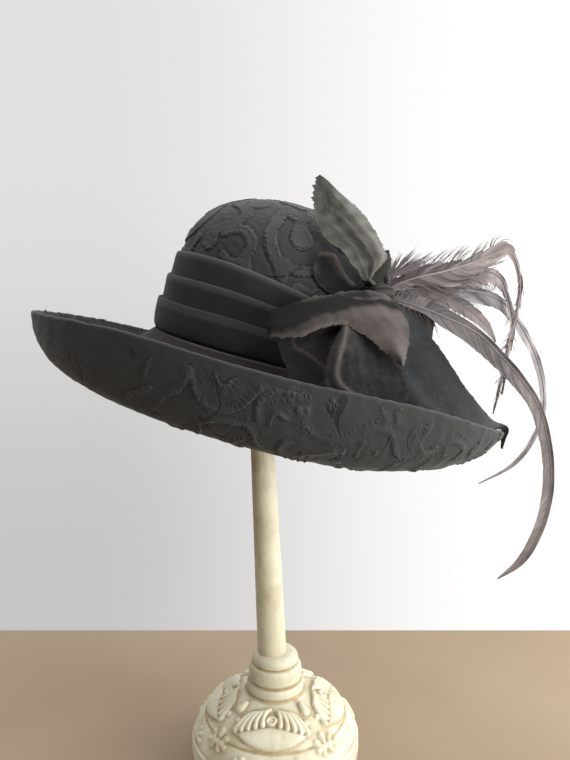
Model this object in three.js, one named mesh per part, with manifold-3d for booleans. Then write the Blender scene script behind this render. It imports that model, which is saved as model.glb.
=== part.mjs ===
// A wide-brimmed feathered hat resting on its turned stand.
// Millimetres, +Z up, +X to the wearer's back, origin at the middle of the foot's flat underside.
// The hat is modelled in its own frame, with its origin in the middle of the headline and +Z up the crown,
// and the whole hat is then tipped as it sits on the stand.

import * as THREE from "three";
import { mergeVertices } from "three/addons/utils/BufferGeometryUtils.js";
import Module from "manifold-3d";

const wasm = await Module();
wasm.setup();

// Turns rows of numbers into objects with the named columns.
function table(columns, rows) {
  const names = columns.split(" ");
  return rows.map((row) => Object.fromEntries(names.map((name, i) => [name, row[i]])));
}

// Clearance between pieces that touch
const fitGap = 0.3;

// Stand
const footDome = { radius: 77, high: 56, middleZ: 24, lowestZ: 16, highestZ: 76, steps: 6 };
const footEdge = { radius: 74.5, round: 3 };
const footSides = 32;
const poleFootZ = 98;
const poleFootX = -2.3;
const poleLeanDegrees = 2.27;
const poleLength = 388;
const poleFootRadius = 13.3;
const poleTopRadius = 7.8;
const poleSides = 20;
const poleSocketClearance = 0.35;
const cap = { radius: 38, high: 20, rimThickness: 8, rimRound: 3, topZ: 510.7, sides: 24, steps: 6 };
const capBoss = { radius: 20, endRadius: 16, long: 8 };

// The foot's turned collar, from the dome up to the pole
const footCollar = table("radius z", [
  [25.8, 77],
  [26, 83],
  [25, 86.6],
  [23, 87.8],
  [23.9, 90],
  [24, 96],
  [23, 101],
  [20.4, 103.4],
  [21, 105.5],
  [20.4, 109.5],
  [17.5, 112.6],
  [14.5, 113.6],
]);

// How the hat sits: where its headline's middle is, and how it tips to the back and away
const headlineX = 1.4;
const headlineZ = 387.7;
const tipBackDegrees = 14;
const tipAwayDegrees = 3;

// Hat walls
const crownWall = 2.4;
const brimWall = 2.6;
const crownSides = 44;
const leafThickness = 1.2;
const featherThickness = 1.0;
// A blade's least width to either side, and how far its pointed ends run on
const leastWidth = 0.5;
const endPoint = 0.4;

// The crown's outer surface, one row for each level: its reach to the front and the back, and its half depth
const crownLevels = table("z front back side", [
  [-5, 101, 101, 84],
  [22, 100, 98.5, 83],
  [45, 98.5, 95, 81.5],
  [65, 96, 90, 79],
  [83, 92.3, 80, 73.5],
  [96, 84.5, 68, 65.5],
  [107, 72.5, 54.5, 54.5],
  [114.5, 58.5, 41, 42],
  [119.3, 44, 26, 28.5],
  [121.8, 27.5, 10, 14],
]);
const crownTop = { x: -9, z: 122.4 };

// The brim's three ovals: where it leaves the crown, the bottom of its gutter, and its rim
const headlineOval = { x: 0, front: 102.4, back: 102.4, side: 85.4 };
const gutterOval = { x: 0, front: 160, back: 159, side: 141 };
const rimOval = { x: 0, front: 200, back: 197.5, side: 174 };
const headlineBrimZ = -3.6;
// How the brim curves between them, as shares of the run and of the height from one oval to the next
const brimFall = { shoulderRun: 0.36, shoulderDrop: 0.42, hollowRun: 0.6 };
const brimRise = { floorRun: 0.5, lipRun: 0.86, lipRise: 0.36 };
const brimSides = 56;
const brimSteps = [0, 0.25, 0.5, 0.75, 1, 1.3, 1.6, 1.85, 2];

// The brim's rise and fall round the hat: 0 is the back, 90 the far side, 180 the front, 270 the near side
const brimTurns = table("angle rimZ gutterZ", [
  [0, -22, -42],
  [30, -26, -44],
  [60, -27, -47],
  [90, -26, -49],
  [120, -24, -49],
  [150, -19.5, -47],
  [180, -15.5, -46],
  [210, -8, -49],
  [240, 0.5, -52],
  [270, -1.3, -54],
  [300, -1.5, -53],
  [330, -11.5, -46],
]);

// The band's section, from its lower edge up and back down inside: how far each corner stands off the crown,
// and its height as a share of the band's
const bandHeight = 65;
const bandBottomZ = -1.4;
const bandSection = table("off height", [
  [0.5, 0],
  [3.2, 0.0],
  [5.8, 0.12],
  [6.6, 0.28],
  [6.2, 0.38],
  [3.9, 0.4],
  [3.6, 0.5],
  [4.8, 0.6],
  [4.7, 0.68],
  [2.7, 0.7],
  [2.6, 0.82],
  [3.6, 0.92],
  [3.2, 1.0],
  [0.5, 1.0],
  [0.5, 0.85],
  [0.5, 0.7],
  [0.5, 0.35],
]);
// The band is drawn together by this share where the leaves are sewn on
const bandGather = { angle: 310, spread: 31, share: 0.28 };

// The gathered knot that holds the leaves and feathers
const knot = { x: 65, y: -70.5, z: 69, long: 12, deep: 8, high: 8.5, turn: -30 };
const knotGathers = { count: 9, depth: 0.1 };
const knotSides = 18;
const knotSteps = 10;
// The bound stems behind the knot, which are sewn to the crown
const stems = { radius: 4, endRadius: 5.5, endX: 52, endY: -56.4, sides: 12 };

// How many steps each kind of blade has along it and across it
const leafSteps = { along: 10, across: 4 };
const featherSteps = { along: 20, across: 2 };
const strandSteps = { along: 4, across: 2 };

// Leaves: each row is a point of the spine from the knot to the tip, the width either side of it, the turn of
// the face about it in degrees, and how far the edges curl towards the face
const leafColumns = "x y z left right turn curl";
const leaves = {
  leaf_upright: {
    color: 0x6b6967,
    face: [0.1, -1, 0.1],
    rows: table(leafColumns, [
      [63, -73, 72, 3, 3, 0, 0],
      [58, -78, 80, 8, 8, 0, 1],
      [51, -80, 88, 13, 12, 0, 3],
      [41, -76, 98, 18, 14, 0, 4],
      [27, -68, 110, 19, 12, 4, 4],
      [11, -60, 125, 13, 10, 8, 3],
      [2, -54, 136, 7, 7, 10, 2],
      [-2, -51, 143, 0.6, 0.6, 10, 0],
    ]),
  },
  leaf_shaded: {
    color: 0x3a3839,
    face: [0.1, -1, 0.3],
    rows: table(leafColumns, [
      [60, -70, 71, 3, 3, 0, 0],
      [46, -71, 76, 8, 6, 0, 1],
      [34, -75, 76, 9, 7, 0, 2],
      [22, -79, 78, 6, 5, 0, 1],
      [14, -79, 80, 0.6, 0.6, 0, 0],
    ]),
  },
  leaf_left: {
    color: 0x2b2a2a,
    face: [0.1, -1, 0.2],
    rows: table(leafColumns, [
      [61, -75, 68, 3, 3, 0, 0],
      [53, -85, 64, 7, 6, 0, 1],
      [46, -91, 60, 12, 7, 0, 2],
      [32, -99, 51, 15, 9, 0, 3],
      [14, -105, 40, 15, 11, 0, 3],
      [-1, -108, 32, 13, 11, 0, 2],
      [-10, -109, 28, 7, 8, 0, 1],
      [-13, -109, 27, 0.6, 0.6, 0, 0],
    ]),
  },
  leaf_brown: {
    color: 0x6e6664,
    face: [0, -1, 0.3],
    rows: table(leafColumns, [
      [67, -75, 65, 3, 3, 0, 0],
      [68, -84, 62, 8, 7, 0, 1],
      [69, -94, 56, 18, 11, 0, 2],
      [69, -104, 46, 25, 15, 0, 4],
      [74, -113, 35, 15, 11, 0, 4],
      [80, -120, 27, 6, 6, 0, 2],
      [85, -124, 21, 0.6, 0.6, 0, 0],
    ]),
  },
  leaf_low: {
    color: 0x282728,
    face: [0, -1, 0.25],
    rows: table(leafColumns, [
      [66, -72, 64, 3, 3, 0, 0],
      [62, -87, 49, 8, 8, 0, 0],
      [59, -103, 31, 17, 15, 0, 2],
      [62, -115, 14, 22, 22, 0, 4],
      [68, -125, 0, 22, 22, 0, 5],
      [75, -132, -13, 14, 14, 0, 3],
      [80, -136, -22, 0.6, 0.6, 0, 0],
    ]),
  },
  leaf_dark: {
    color: 0x141816,
    face: [-0.1, -1, 0.3],
    rows: table(leafColumns, [
      [57, -71, 66, 2.5, 2.5, 0, 0],
      [44, -87, 50, 6, 6, 0, 0],
      [27, -99, 30, 14, 12, 0, 2],
      [14, -107, 14, 21, 15, 0, 3],
      [14, -116, 1, 21, 15, 0, 4],
      [18, -125, -10, 13, 9, 0, 3],
      [20, -130, -17, 0.6, 0.6, 0, 0],
    ]),
  },
  leaf_right: {
    color: 0x3c3d40,
    face: [0.3, -1, 0.5],
    rows: table(leafColumns, [
      [70, -69, 65, 2.5, 2.5, 0, 0],
      [82, -74, 56, 6, 8, 0, 0],
      [100, -74, 40, 10, 38, 0, 2],
      [117, -78, 25, 10, 50, 0, 4],
      [136, -77, 8, 9, 42, 0, 5],
      [156, -66, -5, 9, 22, 0, 4],
      [177, -46, -12, 6, 7, 0, 2],
      [190, -31, -12.5, 3, 3, 0, 0],
      [199.5, -21, -15.5, 2.5, 2.5, 0, 0],
      [204, -16, -32, 0.6, 0.6, 0, 0],
    ]),
  },
  leaf_back: {
    color: 0x232324,
    face: [0.1, -1, 0.2],
    rows: table(leafColumns, [
      [71, -66, 66, 2.5, 2.5, 0, 0],
      [83, -61, 57, 8, 8, 0, 0],
      [93, -54, 53, 14, 14, 0, 1],
      [103, -48, 49, 16, 16, 0, 2],
      [112, -42, 45, 11, 11, 0, 1],
      [117, -39, 43, 0.6, 0.6, 0, 0],
    ]),
  },
};

// Feathers: the same columns, along the quill
const feathers = {
  feather_top: {
    color: 0x6b6969,
    face: [-0.1, -1, 0.3],
    rows: table(leafColumns, [
      [69, -68, 72, 0.6, 0.6, 0, 0],
      [76, -63, 78, 1.5, 1.5, 0, 0],
      [91, -52, 87, 8, 11, 0, 1],
      [110, -41, 96, 8, 16, 0, 2],
      [130, -31, 107, 6, 13, 0, 2],
      [148, -24, 119, 4, 8, 0, 1],
      [161, -20, 127, 3, 5, 0, 0],
      [172, -18, 121, 2.5, 2.5, 0, 0],
      [181, -17, 104, 2, 2, 0, 0],
      [185, -16, 81, 2, 2, 0, 0],
      [186, -15, 60, 1.6, 1.6, 0, 0],
      [189, -14, 40, 1.4, 1.4, 0, 0],
      [193, -12, 12, 1, 1, 0, 0],
    ]),
  },
  feather_second: {
    color: 0x7d7675,
    face: [-0.1, -1, 0.3],
    rows: table(leafColumns, [
      [71.5, -65, 71, 0.6, 0.6, 0, 0],
      [84, -54, 79, 1.5, 1.5, 0, 0],
      [99, -44, 83.5, 2, 3, 0, 0],
      [117, -34.5, 91, 3, 8, 0, 1],
      [135, -25.5, 101, 4, 13, 0, 1],
      [152, -18, 107, 4, 14, 0, 1],
      [165, -12, 105, 3, 9, 0, 1],
      [174, -9, 96, 2.5, 4, 0, 0],
      [182, -7.5, 83, 2.5, 2.5, 0, 0],
      [188, -6.5, 68, 2.5, 2.5, 0, 0],
      [190, -6, 46, 2.5, 3, 0, 0],
      [192, -4, 18, 1.5, 2, 0, 0],
      [194, -1, -7, 0.6, 0.6, 0, 0],
    ]),
  },
  feather_outer: {
    color: 0x8b8483,
    face: [-0.1, -1, 0.3],
    rows: table(leafColumns, [
      [73, -65.5, 68, 0.6, 0.6, 0, 0],
      [84, -53, 74, 1.5, 1.5, 0, 0],
      [104, -36, 79, 3, 3, 0, 0],
      [128, -22, 86, 3, 8, 0, 0],
      [155, -9, 90, 3, 10, 0, 0],
      [180, -2, 85, 3, 8, 0, 0],
      [205, 5, 65, 2.5, 5, 0, 0],
      [221, 8, 47, 2.5, 4, 0, 0],
      [234, 11, 26, 2.5, 3.6, 0, 0],
      [241, 14, 5, 2.5, 3, 0, 0],
      [242, 17, -16, 2.4, 2.4, 0, 0],
      [232, 21, -48, 1.8, 1.8, 0, 0],
      [207, 24, -74, 0.6, 0.6, 0, 0],
    ]),
  },
  feather_sweep: {
    color: 0xa59c9b,
    face: [-0.1, -1, 0.3],
    rows: table(leafColumns, [
      [72, -69, 67, 0.6, 0.6, 0, 0],
      [84, -65, 66, 2, 2, 0, 0],
      [100, -58, 65, 4, 5, 0, 0],
      [118, -50, 63, 5, 9, 0, 0],
      [150, -40, 57, 4, 12, 0, 1],
      [176, -33, 44, 3.5, 11, 0, 1],
      [201, -27, 28, 3.5, 9, 0, 1],
      [223, -23, 9, 3, 8, 0, 1],
      [242, -19, -22, 2.8, 7, 0, 1],
      [254, -17, -56, 2.8, 7, 0, 1],
      [257, -15, -92, 2.8, 6.5, 0, 1],
      [250, -13, -124, 2.5, 4.5, 0, 0],
      [234, -12, -145, 0.6, 0.6, 0, 0],
    ]),
  },
  feather_short: {
    color: 0x8f8888,
    face: [-0.1, -1, 0.3],
    rows: table(leafColumns, [
      [71, -67, 70, 0.6, 0.6, 0, 0],
      [84, -59, 76, 1.5, 1.5, 0, 0],
      [108, -46, 79, 3, 3, 0, 0],
      [138, -34, 74, 4, 4, 0, 0],
      [160, -28, 64, 4, 4, 0, 0],
      [172, -24, 53, 0.6, 0.6, 0, 0],
    ]),
  },
};

// The frayed tuft at the knot: where each strand ends, and its half width
const tuftHead = { x: 66, y: -70, z: 79.8, radius: 2.6 };
const tuftStrands = table("x y z width", [
  [66, -55, 98, 1.6],
  [74, -53, 101, 1.6],
  [84, -51, 109, 1.8],
  [93, -51, 105, 2.4],
  [101, -52, 108, 3],
]);

// Pieces made from rings of points: each ring joins the next, and a ring of one point closes an end.
// With loop set, the last ring joins the first.
function ringGeometry(rings, loop = false) {
  const positions = [];
  const face = (a, b, c) => positions.push(...a.toArray(), ...b.toArray(), ...c.toArray());
  const last = loop ? rings.length : rings.length - 1;
  for (let i = 0; i < last; i++) {
    const here = rings[i];
    const next = rings[(i + 1) % rings.length];
    const count = Math.max(here.length, next.length);
    for (let j = 0; j < count; j++) {
      const k = (j + 1) % count;
      const [a, b] = here.length === 1 ? [here[0], here[0]] : [here[j], here[k]];
      const [d, c] = next.length === 1 ? [next[0], next[0]] : [next[j], next[k]];
      if (here.length > 1) face(a, b, c);
      if (next.length > 1) face(a, c, d);
    }
  }
  const geometry = new THREE.BufferGeometry();
  geometry.setAttribute("position", new THREE.Float32BufferAttribute(positions, 3));
  return facingOut(mergeVertices(geometry, 1e-3));
}

// Turns a closed geometry's faces outwards.
function facingOut(geometry) {
  const index = geometry.index.array;
  const corners = [0, 1, 2].map(() => new THREE.Vector3());
  let volume = 0;
  for (let i = 0; i < index.length; i += 3) {
    corners.forEach((corner, k) => corner.fromBufferAttribute(geometry.attributes.position, index[i + k]));
    volume += corners[0].dot(corners[1].clone().cross(corners[2]));
  }
  if (volume < 0) {
    for (let i = 0; i < index.length; i += 3) {
      [index[i + 1], index[i + 2]] = [index[i + 2], index[i + 1]];
    }
  }
  return geometry;
}

// A geometry as a solid for cutting and joining, and back again
function solidOf(geometry) {
  const bare = geometry.clone();
  bare.deleteAttribute("normal");
  bare.deleteAttribute("uv");
  const merged = mergeVertices(bare, 1e-3);
  return new wasm.Manifold(
    new wasm.Mesh({
      numProp: 3,
      vertProperties: merged.attributes.position.array,
      triVerts: new Uint32Array(merged.index.array),
    }),
  );
}

function geometryOf(solid) {
  const mesh = solid.getMesh();
  const geometry = new THREE.BufferGeometry();
  geometry.setAttribute("position", new THREE.BufferAttribute(new Float32Array(mesh.vertProperties), 3));
  geometry.setIndex(new THREE.BufferAttribute(new Uint32Array(mesh.triVerts), 1));
  return geometry;
}

// A smooth value between rows that repeat round a full turn
function roundTurn(rows, column, angle) {
  const step = 360 / rows.length;
  const place = (((angle % 360) + 360) % 360) / step;
  const i = Math.floor(place);
  const value = (k) => rows[(i + k + rows.length) % rows.length][column];
  return catmullRom(value(-1), value(0), value(1), value(2), place - i);
}

// A smooth value between rows from first to last, with u from 0 to 1
function alongRows(rows, column, u) {
  const place = Math.min(u, 1) * (rows.length - 1);
  const i = Math.min(Math.floor(place), rows.length - 2);
  const value = (k) => rows[Math.min(Math.max(i + k, 0), rows.length - 1)][column];
  return catmullRom(value(-1), value(0), value(1), value(2), place - i);
}

function catmullRom(a, b, c, d, t) {
  const slopeIn = (c - a) / 2;
  const slopeOut = (d - b) / 2;
  const t2 = t * t;
  const t3 = t2 * t;
  return (
    (2 * t3 - 3 * t2 + 1) * b + (t3 - 2 * t2 + t) * slopeIn + (3 * t2 - 2 * t3) * c + (t3 - t2) * slopeOut
  );
}

const radians = THREE.MathUtils.degToRad;

// A point on an oval with its own reach to the front (-X) and the back (+X)
function ovalPoint(oval, angle, z) {
  const c = Math.cos(radians(angle));
  const reach = (oval.back - oval.front) / 2 + ((oval.back + oval.front) / 2) * c;
  return new THREE.Vector3((oval.x ?? 0) + reach, oval.side * Math.sin(radians(angle)), z);
}

function angles(count) {
  return Array.from({ length: count }, (_, i) => (360 * i) / count);
}

// The crown's level at a height, as an oval
function crownOval(z) {
  const first = crownLevels.findIndex((level) => level.z > z);
  const i = Math.max((first < 0 ? crownLevels.length : first) - 1, 0);
  const low = crownLevels[i];
  const high = crownLevels[Math.min(i + 1, crownLevels.length - 1)];
  const t = high === low ? 0 : Math.max((z - low.z) / (high.z - low.z), 0);
  const mix = (column) => low[column] + (high[column] - low[column]) * t;
  return { front: mix("front"), back: mix("back"), side: mix("side") };
}

// The crown: the outer levels from the top down, then the same levels inside, a wall's thickness in
function crownGeometry() {
  const around = angles(crownSides);
  const inset = (level, i) => {
    const above = crownLevels[Math.min(i + 1, crownLevels.length - 1)];
    const below = crownLevels[Math.max(i - 1, 0)];
    const slope = Math.atan2(below.side - above.side, above.z - below.z);
    const inward = i === 0 ? crownWall : crownWall * Math.cos(slope);
    const down = i === 0 ? 0 : crownWall * Math.sin(slope);
    return {
      z: level.z - down,
      front: level.front - inward,
      back: level.back - inward,
      side: level.side - inward,
    };
  };
  const ring = (level) => around.map((angle) => ovalPoint(level, angle, level.z));
  const outside = crownLevels.map(ring).reverse();
  const inside = crownLevels.map((level, i) => ring(inset(level, i)));
  const peak = (drop) => [new THREE.Vector3(crownTop.x, 0, crownTop.z - drop)];
  return ringGeometry([peak(0), ...outside, ...inside, peak(crownWall)]);
}

// A point of the brim's middle surface: s runs from 0 at the headline through 1 in the gutter to 2 at the rim
function brimPoint(angle, s) {
  const gutterZ = roundTurn(brimTurns, "gutterZ", angle);
  const rimZ = roundTurn(brimTurns, "rimZ", angle);
  const head = ovalPoint(headlineOval, angle, headlineBrimZ);
  const gutter = ovalPoint(gutterOval, angle, gutterZ);
  const rim = ovalPoint(rimOval, angle, rimZ);
  const between = (a, b, out, z) => a.clone().lerp(b, out).setZ(z);
  const fall = gutterZ - headlineBrimZ;
  const rise = rimZ - gutterZ;
  if (s <= 1) {
    const shoulderZ = headlineBrimZ + fall * brimFall.shoulderDrop;
    const shoulder = between(head, gutter, brimFall.shoulderRun, shoulderZ);
    const hollow = between(head, gutter, brimFall.hollowRun, gutterZ);
    return new THREE.CubicBezierCurve3(head, shoulder, hollow, gutter).getPoint(s);
  }
  const floor = between(gutter, rim, brimRise.floorRun, gutterZ);
  const lip = between(gutter, rim, brimRise.lipRun, gutterZ + rise * brimRise.lipRise);
  return new THREE.CubicBezierCurve3(gutter, floor, lip, rim).getPoint(s - 1);
}

// The brim: its upper surface from the headline out, and its underside back in
function brimGeometry() {
  const around = angles(brimSides);
  const nudge = 0.02;
  const offset = (angle, s, side) => {
    const inner = Math.max(s - nudge, 0);
    const outer = Math.min(s + nudge, 2);
    const along = brimPoint(angle, outer).sub(brimPoint(angle, inner));
    const aroundHat = brimPoint(angle + 1, s).sub(brimPoint(angle - 1, s));
    const up = along.cross(aroundHat).normalize();
    return brimPoint(angle, s).addScaledVector(up, (side * brimWall) / 2);
  };
  const ring = (s, side) => around.map((angle) => offset(angle, s, side));
  const above = brimSteps.map((s) => ring(s, 1));
  const below = brimSteps.map((s) => ring(s, -1)).reverse();
  return ringGeometry([...above, ...below], true);
}

// How much of its full height the band has left at an angle round the crown
function bandShare(angle) {
  const away = Math.abs(((angle - bandGather.angle + 540) % 360) - 180);
  return 1 - bandGather.share * Math.exp(-((away / bandGather.spread) ** 2) / 2);
}

// The band: its section of three overlapping pleats, carried round the crown
function bandGeometry() {
  const around = angles(crownSides);
  const rings = bandSection.map((corner) =>
    around.map((angle) => {
      const z = bandBottomZ + corner.height * bandHeight * bandShare(angle);
      const crown = crownOval(z);
      const oval = {
        front: crown.front + corner.off,
        back: crown.back + corner.off,
        side: crown.side + corner.off,
      };
      return ovalPoint(oval, angle, z);
    }),
  );
  return ringGeometry(rings, true);
}

// A lump gathered into folds that run over it from end to end; grow makes a larger copy for cutting clearance
function knotGeometry(grow = 0) {
  const along = Array.from({ length: knotSteps - 1 }, (_, i) => (i + 1) / knotSteps);
  const around = angles(knotSides);
  const point = (u, angle) => {
    const girth = Math.sin(Math.PI * u);
    const fold = 1 - knotGathers.depth * (0.5 + 0.5 * Math.cos(radians(angle) * knotGathers.count));
    return new THREE.Vector3(
      -(knot.long + grow) * Math.cos(Math.PI * u),
      (knot.deep * fold + grow) * girth * Math.cos(radians(angle)),
      (knot.high * fold + grow) * girth * Math.sin(radians(angle)),
    );
  };
  const rings = along.map((u) => around.map((angle) => point(u, angle)));
  const geometry = ringGeometry([[point(0, 0)], ...rings, [point(1, 0)]]);
  geometry.rotateZ(radians(-knot.turn));
  geometry.translate(knot.x, knot.y, knot.z);
  return geometry;
}

// The knot with its bound stems, which reach back to the crown
function knotAndStems() {
  const start = new THREE.Vector3(knot.x, knot.y, knot.z);
  const along = new THREE.Vector3(stems.endX, stems.endY, knot.z).sub(start);
  const reach = along.length();
  const bundle = new THREE.CylinderGeometry(stems.endRadius, stems.radius, reach, stems.sides);
  bundle.translate(0, reach / 2, 0);
  const turn = new THREE.Quaternion().setFromUnitVectors(new THREE.Vector3(0, 1, 0), along.normalize());
  bundle.applyQuaternion(turn);
  bundle.translate(start.x, start.y, start.z);
  const crownRings = crownLevels.map((level) => {
    const grown = { front: level.front + fitGap, back: level.back + fitGap, side: level.side + fitGap };
    return angles(crownSides).map((angle) => ovalPoint(grown, angle, level.z));
  });
  const floor = new THREE.Vector3(0, 0, crownLevels[0].z);
  const peak = new THREE.Vector3(crownTop.x, 0, crownTop.z + fitGap);
  const crownSpace = solidOf(ringGeometry([[floor], ...crownRings, [peak]]));
  return geometryOf(solidOf(knotGeometry()).add(solidOf(bundle).subtract(crownSpace)));
}

// A thin curved blade along its rows: a leaf or a feather's vane
function bladeGeometry(rows, face, thickness, steps) {
  const spine = (u) => new THREE.Vector3(...["x", "y", "z"].map((axis) => alongRows(rows, axis, u)));
  const facing = new THREE.Vector3(...face);
  const rings = [];
  for (let i = 0; i <= steps.along; i++) {
    const u = i / steps.along;
    const here = spine(u);
    const along = spine(Math.min(u + 0.01, 1)).sub(spine(Math.max(u - 0.01, 0))).normalize();
    const normal = facing.clone().addScaledVector(along, -facing.dot(along)).normalize();
    normal.applyAxisAngle(along, radians(alongRows(rows, "turn", u)));
    const side = along.clone().cross(normal);
    const curl = alongRows(rows, "curl", u);
    const left = Math.max(alongRows(rows, "left", u), leastWidth);
    const right = Math.max(alongRows(rows, "right", u), leastWidth);
    const point = (c, lift) =>
      here
        .clone()
        .addScaledVector(side, c < 0 ? c * left : c * right)
        .addScaledVector(normal, curl * c * c + lift);
    const places = Array.from({ length: steps.across + 1 }, (_, k) => (2 * k) / steps.across - 1);
    const front = places.map((c) => point(c, thickness / 2));
    const back = places.map((c) => point(c, -thickness / 2)).reverse();
    if (i === 0) rings.push([point(0, 0).addScaledVector(along, -endPoint)]);
    rings.push([...front, ...back]);
    if (i === steps.along) rings.push([point(0, 0).addScaledVector(along, endPoint)]);
  }
  return ringGeometry(rings);
}

// A blade with room cut for the knot it is sewn to
function sewnBlade(piece, thickness, steps) {
  const blade = solidOf(bladeGeometry(piece.rows, piece.face, thickness, steps));
  const cut = blade.subtract(solidOf(knotGeometry(fitGap)));
  const largest = cut.decompose().sort((a, b) => b.volume() - a.volume())[0];
  return geometryOf(largest);
}

// The tuft: thin tapering strands from one small head
function tuftGeometry() {
  const head = new THREE.SphereGeometry(tuftHead.radius, 10, 6);
  head.translate(tuftHead.x, tuftHead.y, tuftHead.z);
  const strands = tuftStrands.map((strand) => {
    const mix = (t) => ["x", "y", "z"].map((axis) => tuftHead[axis] + (strand[axis] - tuftHead[axis]) * t);
    const rows = table(leafColumns, [
      [...mix(0), 1, 1, 0, 0],
      [...mix(0.5), strand.width, strand.width, 0, 0],
      [...mix(1), leastWidth, leastWidth, 0, 0],
    ]);
    return solidOf(bladeGeometry(rows, [0, -1, 0], featherThickness, strandSteps));
  });
  return geometryOf(strands.reduce((sum, strand) => sum.add(strand), solidOf(head)));
}

// The foot: a flat-bottomed dome with a turned collar of three rings
function footProfile() {
  const dome = Array.from({ length: footDome.steps + 1 }, (_, i) => {
    const z = footDome.lowestZ + ((footDome.highestZ - footDome.lowestZ) * i) / footDome.steps;
    return [footDome.radius * Math.sqrt(1 - ((z - footDome.middleZ) / footDome.high) ** 2), z];
  });
  const collar = footCollar.map((ring) => [ring.radius, ring.z]);
  return [
    [0, 0],
    [footEdge.radius - footEdge.round, 0],
    [footEdge.radius, footEdge.round],
    ...dome,
    ...collar,
    [0, footCollar.at(-1).z],
  ];
}

function latheGeometry(profile, segments) {
  const geometry = new THREE.LatheGeometry(
    profile.map(([r, z]) => new THREE.Vector2(r, z)),
    segments,
  );
  geometry.rotateX(Math.PI / 2);
  geometry.deleteAttribute("normal");
  geometry.deleteAttribute("uv");
  return facingOut(mergeVertices(geometry, 1e-3));
}

// Stands a turned shape on the pole's leaning axis, at a distance along it
function onPole(geometry, distance) {
  geometry.translate(0, 0, distance);
  geometry.rotateY(radians(-poleLeanDegrees));
  geometry.translate(poleFootX, 0, poleFootZ);
  return geometry;
}

// The pole, or with grow the socket cut for it
function poleGeometry(grow = 0) {
  const profile = [
    [0, -grow],
    [poleFootRadius + grow, -grow],
    [(poleFootRadius + poleTopRadius) / 2 + grow, poleLength / 2],
    [poleTopRadius + grow, poleLength + grow],
    [0, poleLength + grow],
  ];
  return onPole(latheGeometry(profile, poleSides), 0);
}

function footGeometry() {
  const body = solidOf(latheGeometry(footProfile(), footSides));
  return geometryOf(body.subtract(solidOf(poleGeometry(poleSocketClearance))));
}

// The cap: a shallow dome with a rounded rim, socketed on the pole's end
function capGeometry() {
  const dome = Array.from({ length: cap.steps }, (_, i) => {
    const turn = ((Math.PI / 2) * i) / cap.steps;
    return [cap.radius * Math.cos(turn), cap.high * Math.sin(turn)];
  });
  const profile = [
    [0, -cap.rimThickness - capBoss.long],
    [capBoss.endRadius, -cap.rimThickness - capBoss.long],
    [capBoss.radius, -cap.rimThickness],
    [cap.radius - cap.rimRound, -cap.rimThickness],
    [cap.radius, cap.rimRound - cap.rimThickness],
    ...dome,
    [0, cap.high],
  ];
  const along = (cap.topZ - poleFootZ) / Math.cos(radians(poleLeanDegrees)) - cap.high;
  const body = solidOf(onPole(latheGeometry(profile, cap.sides), along));
  return geometryOf(body.subtract(solidOf(poleGeometry(poleSocketClearance))));
}

const cloth = (color) => new THREE.MeshStandardMaterial({ color, roughness: 0.9, metalness: 0 });
const paint = new THREE.MeshStandardMaterial({ color: 0xe4dfc3, roughness: 0.55, metalness: 0 });

function named(name, geometry, material) {
  geometry.computeVertexNormals();
  const mesh = new THREE.Mesh(geometry, material);
  mesh.name = name;
  return mesh;
}

const stand = new THREE.Group();
stand.add(named("stand_foot", footGeometry(), paint));
stand.add(named("stand_pole", poleGeometry(), paint));
stand.add(named("stand_cap", capGeometry(), paint));

const hat = new THREE.Group();
hat.position.set(headlineX, 0, headlineZ);
hat.rotation.set(radians(-tipAwayDegrees), radians(tipBackDegrees), 0, "YXZ");
hat.add(named("crown", crownGeometry(), cloth(0x4c4c4b)));
hat.add(named("brim", brimGeometry(), cloth(0x333234)));
hat.add(named("hat_band", bandGeometry(), cloth(0x2c2c2c)));
hat.add(named("stem_knot", knotAndStems(), cloth(0x575250)));
for (const [name, leaf] of Object.entries(leaves)) {
  hat.add(named(name, sewnBlade(leaf, leafThickness, leafSteps), cloth(leaf.color)));
}
for (const [name, feather] of Object.entries(feathers)) {
  hat.add(named(name, sewnBlade(feather, featherThickness, featherSteps), cloth(feather.color)));
}
hat.add(named("feather_tuft", tuftGeometry(), cloth(0x5a504e)));

const part = new THREE.Group();
part.add(stand, hat);

export default part;
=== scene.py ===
# Dresses the feathered hat and its stand: relief cloth, felt, a crepe band, velvet leaves, feathers and a
# painted casting. Shapes are worked out in millimetres, and makePiece turns them into metres.
import math
import bpy
import numpy as np
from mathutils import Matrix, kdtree


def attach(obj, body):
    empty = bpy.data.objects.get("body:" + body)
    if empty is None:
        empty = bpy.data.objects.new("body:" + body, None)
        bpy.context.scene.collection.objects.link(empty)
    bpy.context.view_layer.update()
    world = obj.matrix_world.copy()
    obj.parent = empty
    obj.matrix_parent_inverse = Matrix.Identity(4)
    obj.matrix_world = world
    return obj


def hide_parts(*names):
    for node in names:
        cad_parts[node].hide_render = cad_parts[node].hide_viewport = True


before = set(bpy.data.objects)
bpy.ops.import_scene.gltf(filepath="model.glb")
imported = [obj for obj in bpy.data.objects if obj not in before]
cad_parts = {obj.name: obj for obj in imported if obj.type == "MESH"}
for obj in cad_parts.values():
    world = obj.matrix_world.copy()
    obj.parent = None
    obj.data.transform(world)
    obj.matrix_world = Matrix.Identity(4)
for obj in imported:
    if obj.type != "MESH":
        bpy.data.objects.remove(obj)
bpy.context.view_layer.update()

scene = bpy.context.scene
scene.view_settings.view_transform = "Standard"


# Curves and grids

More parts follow.
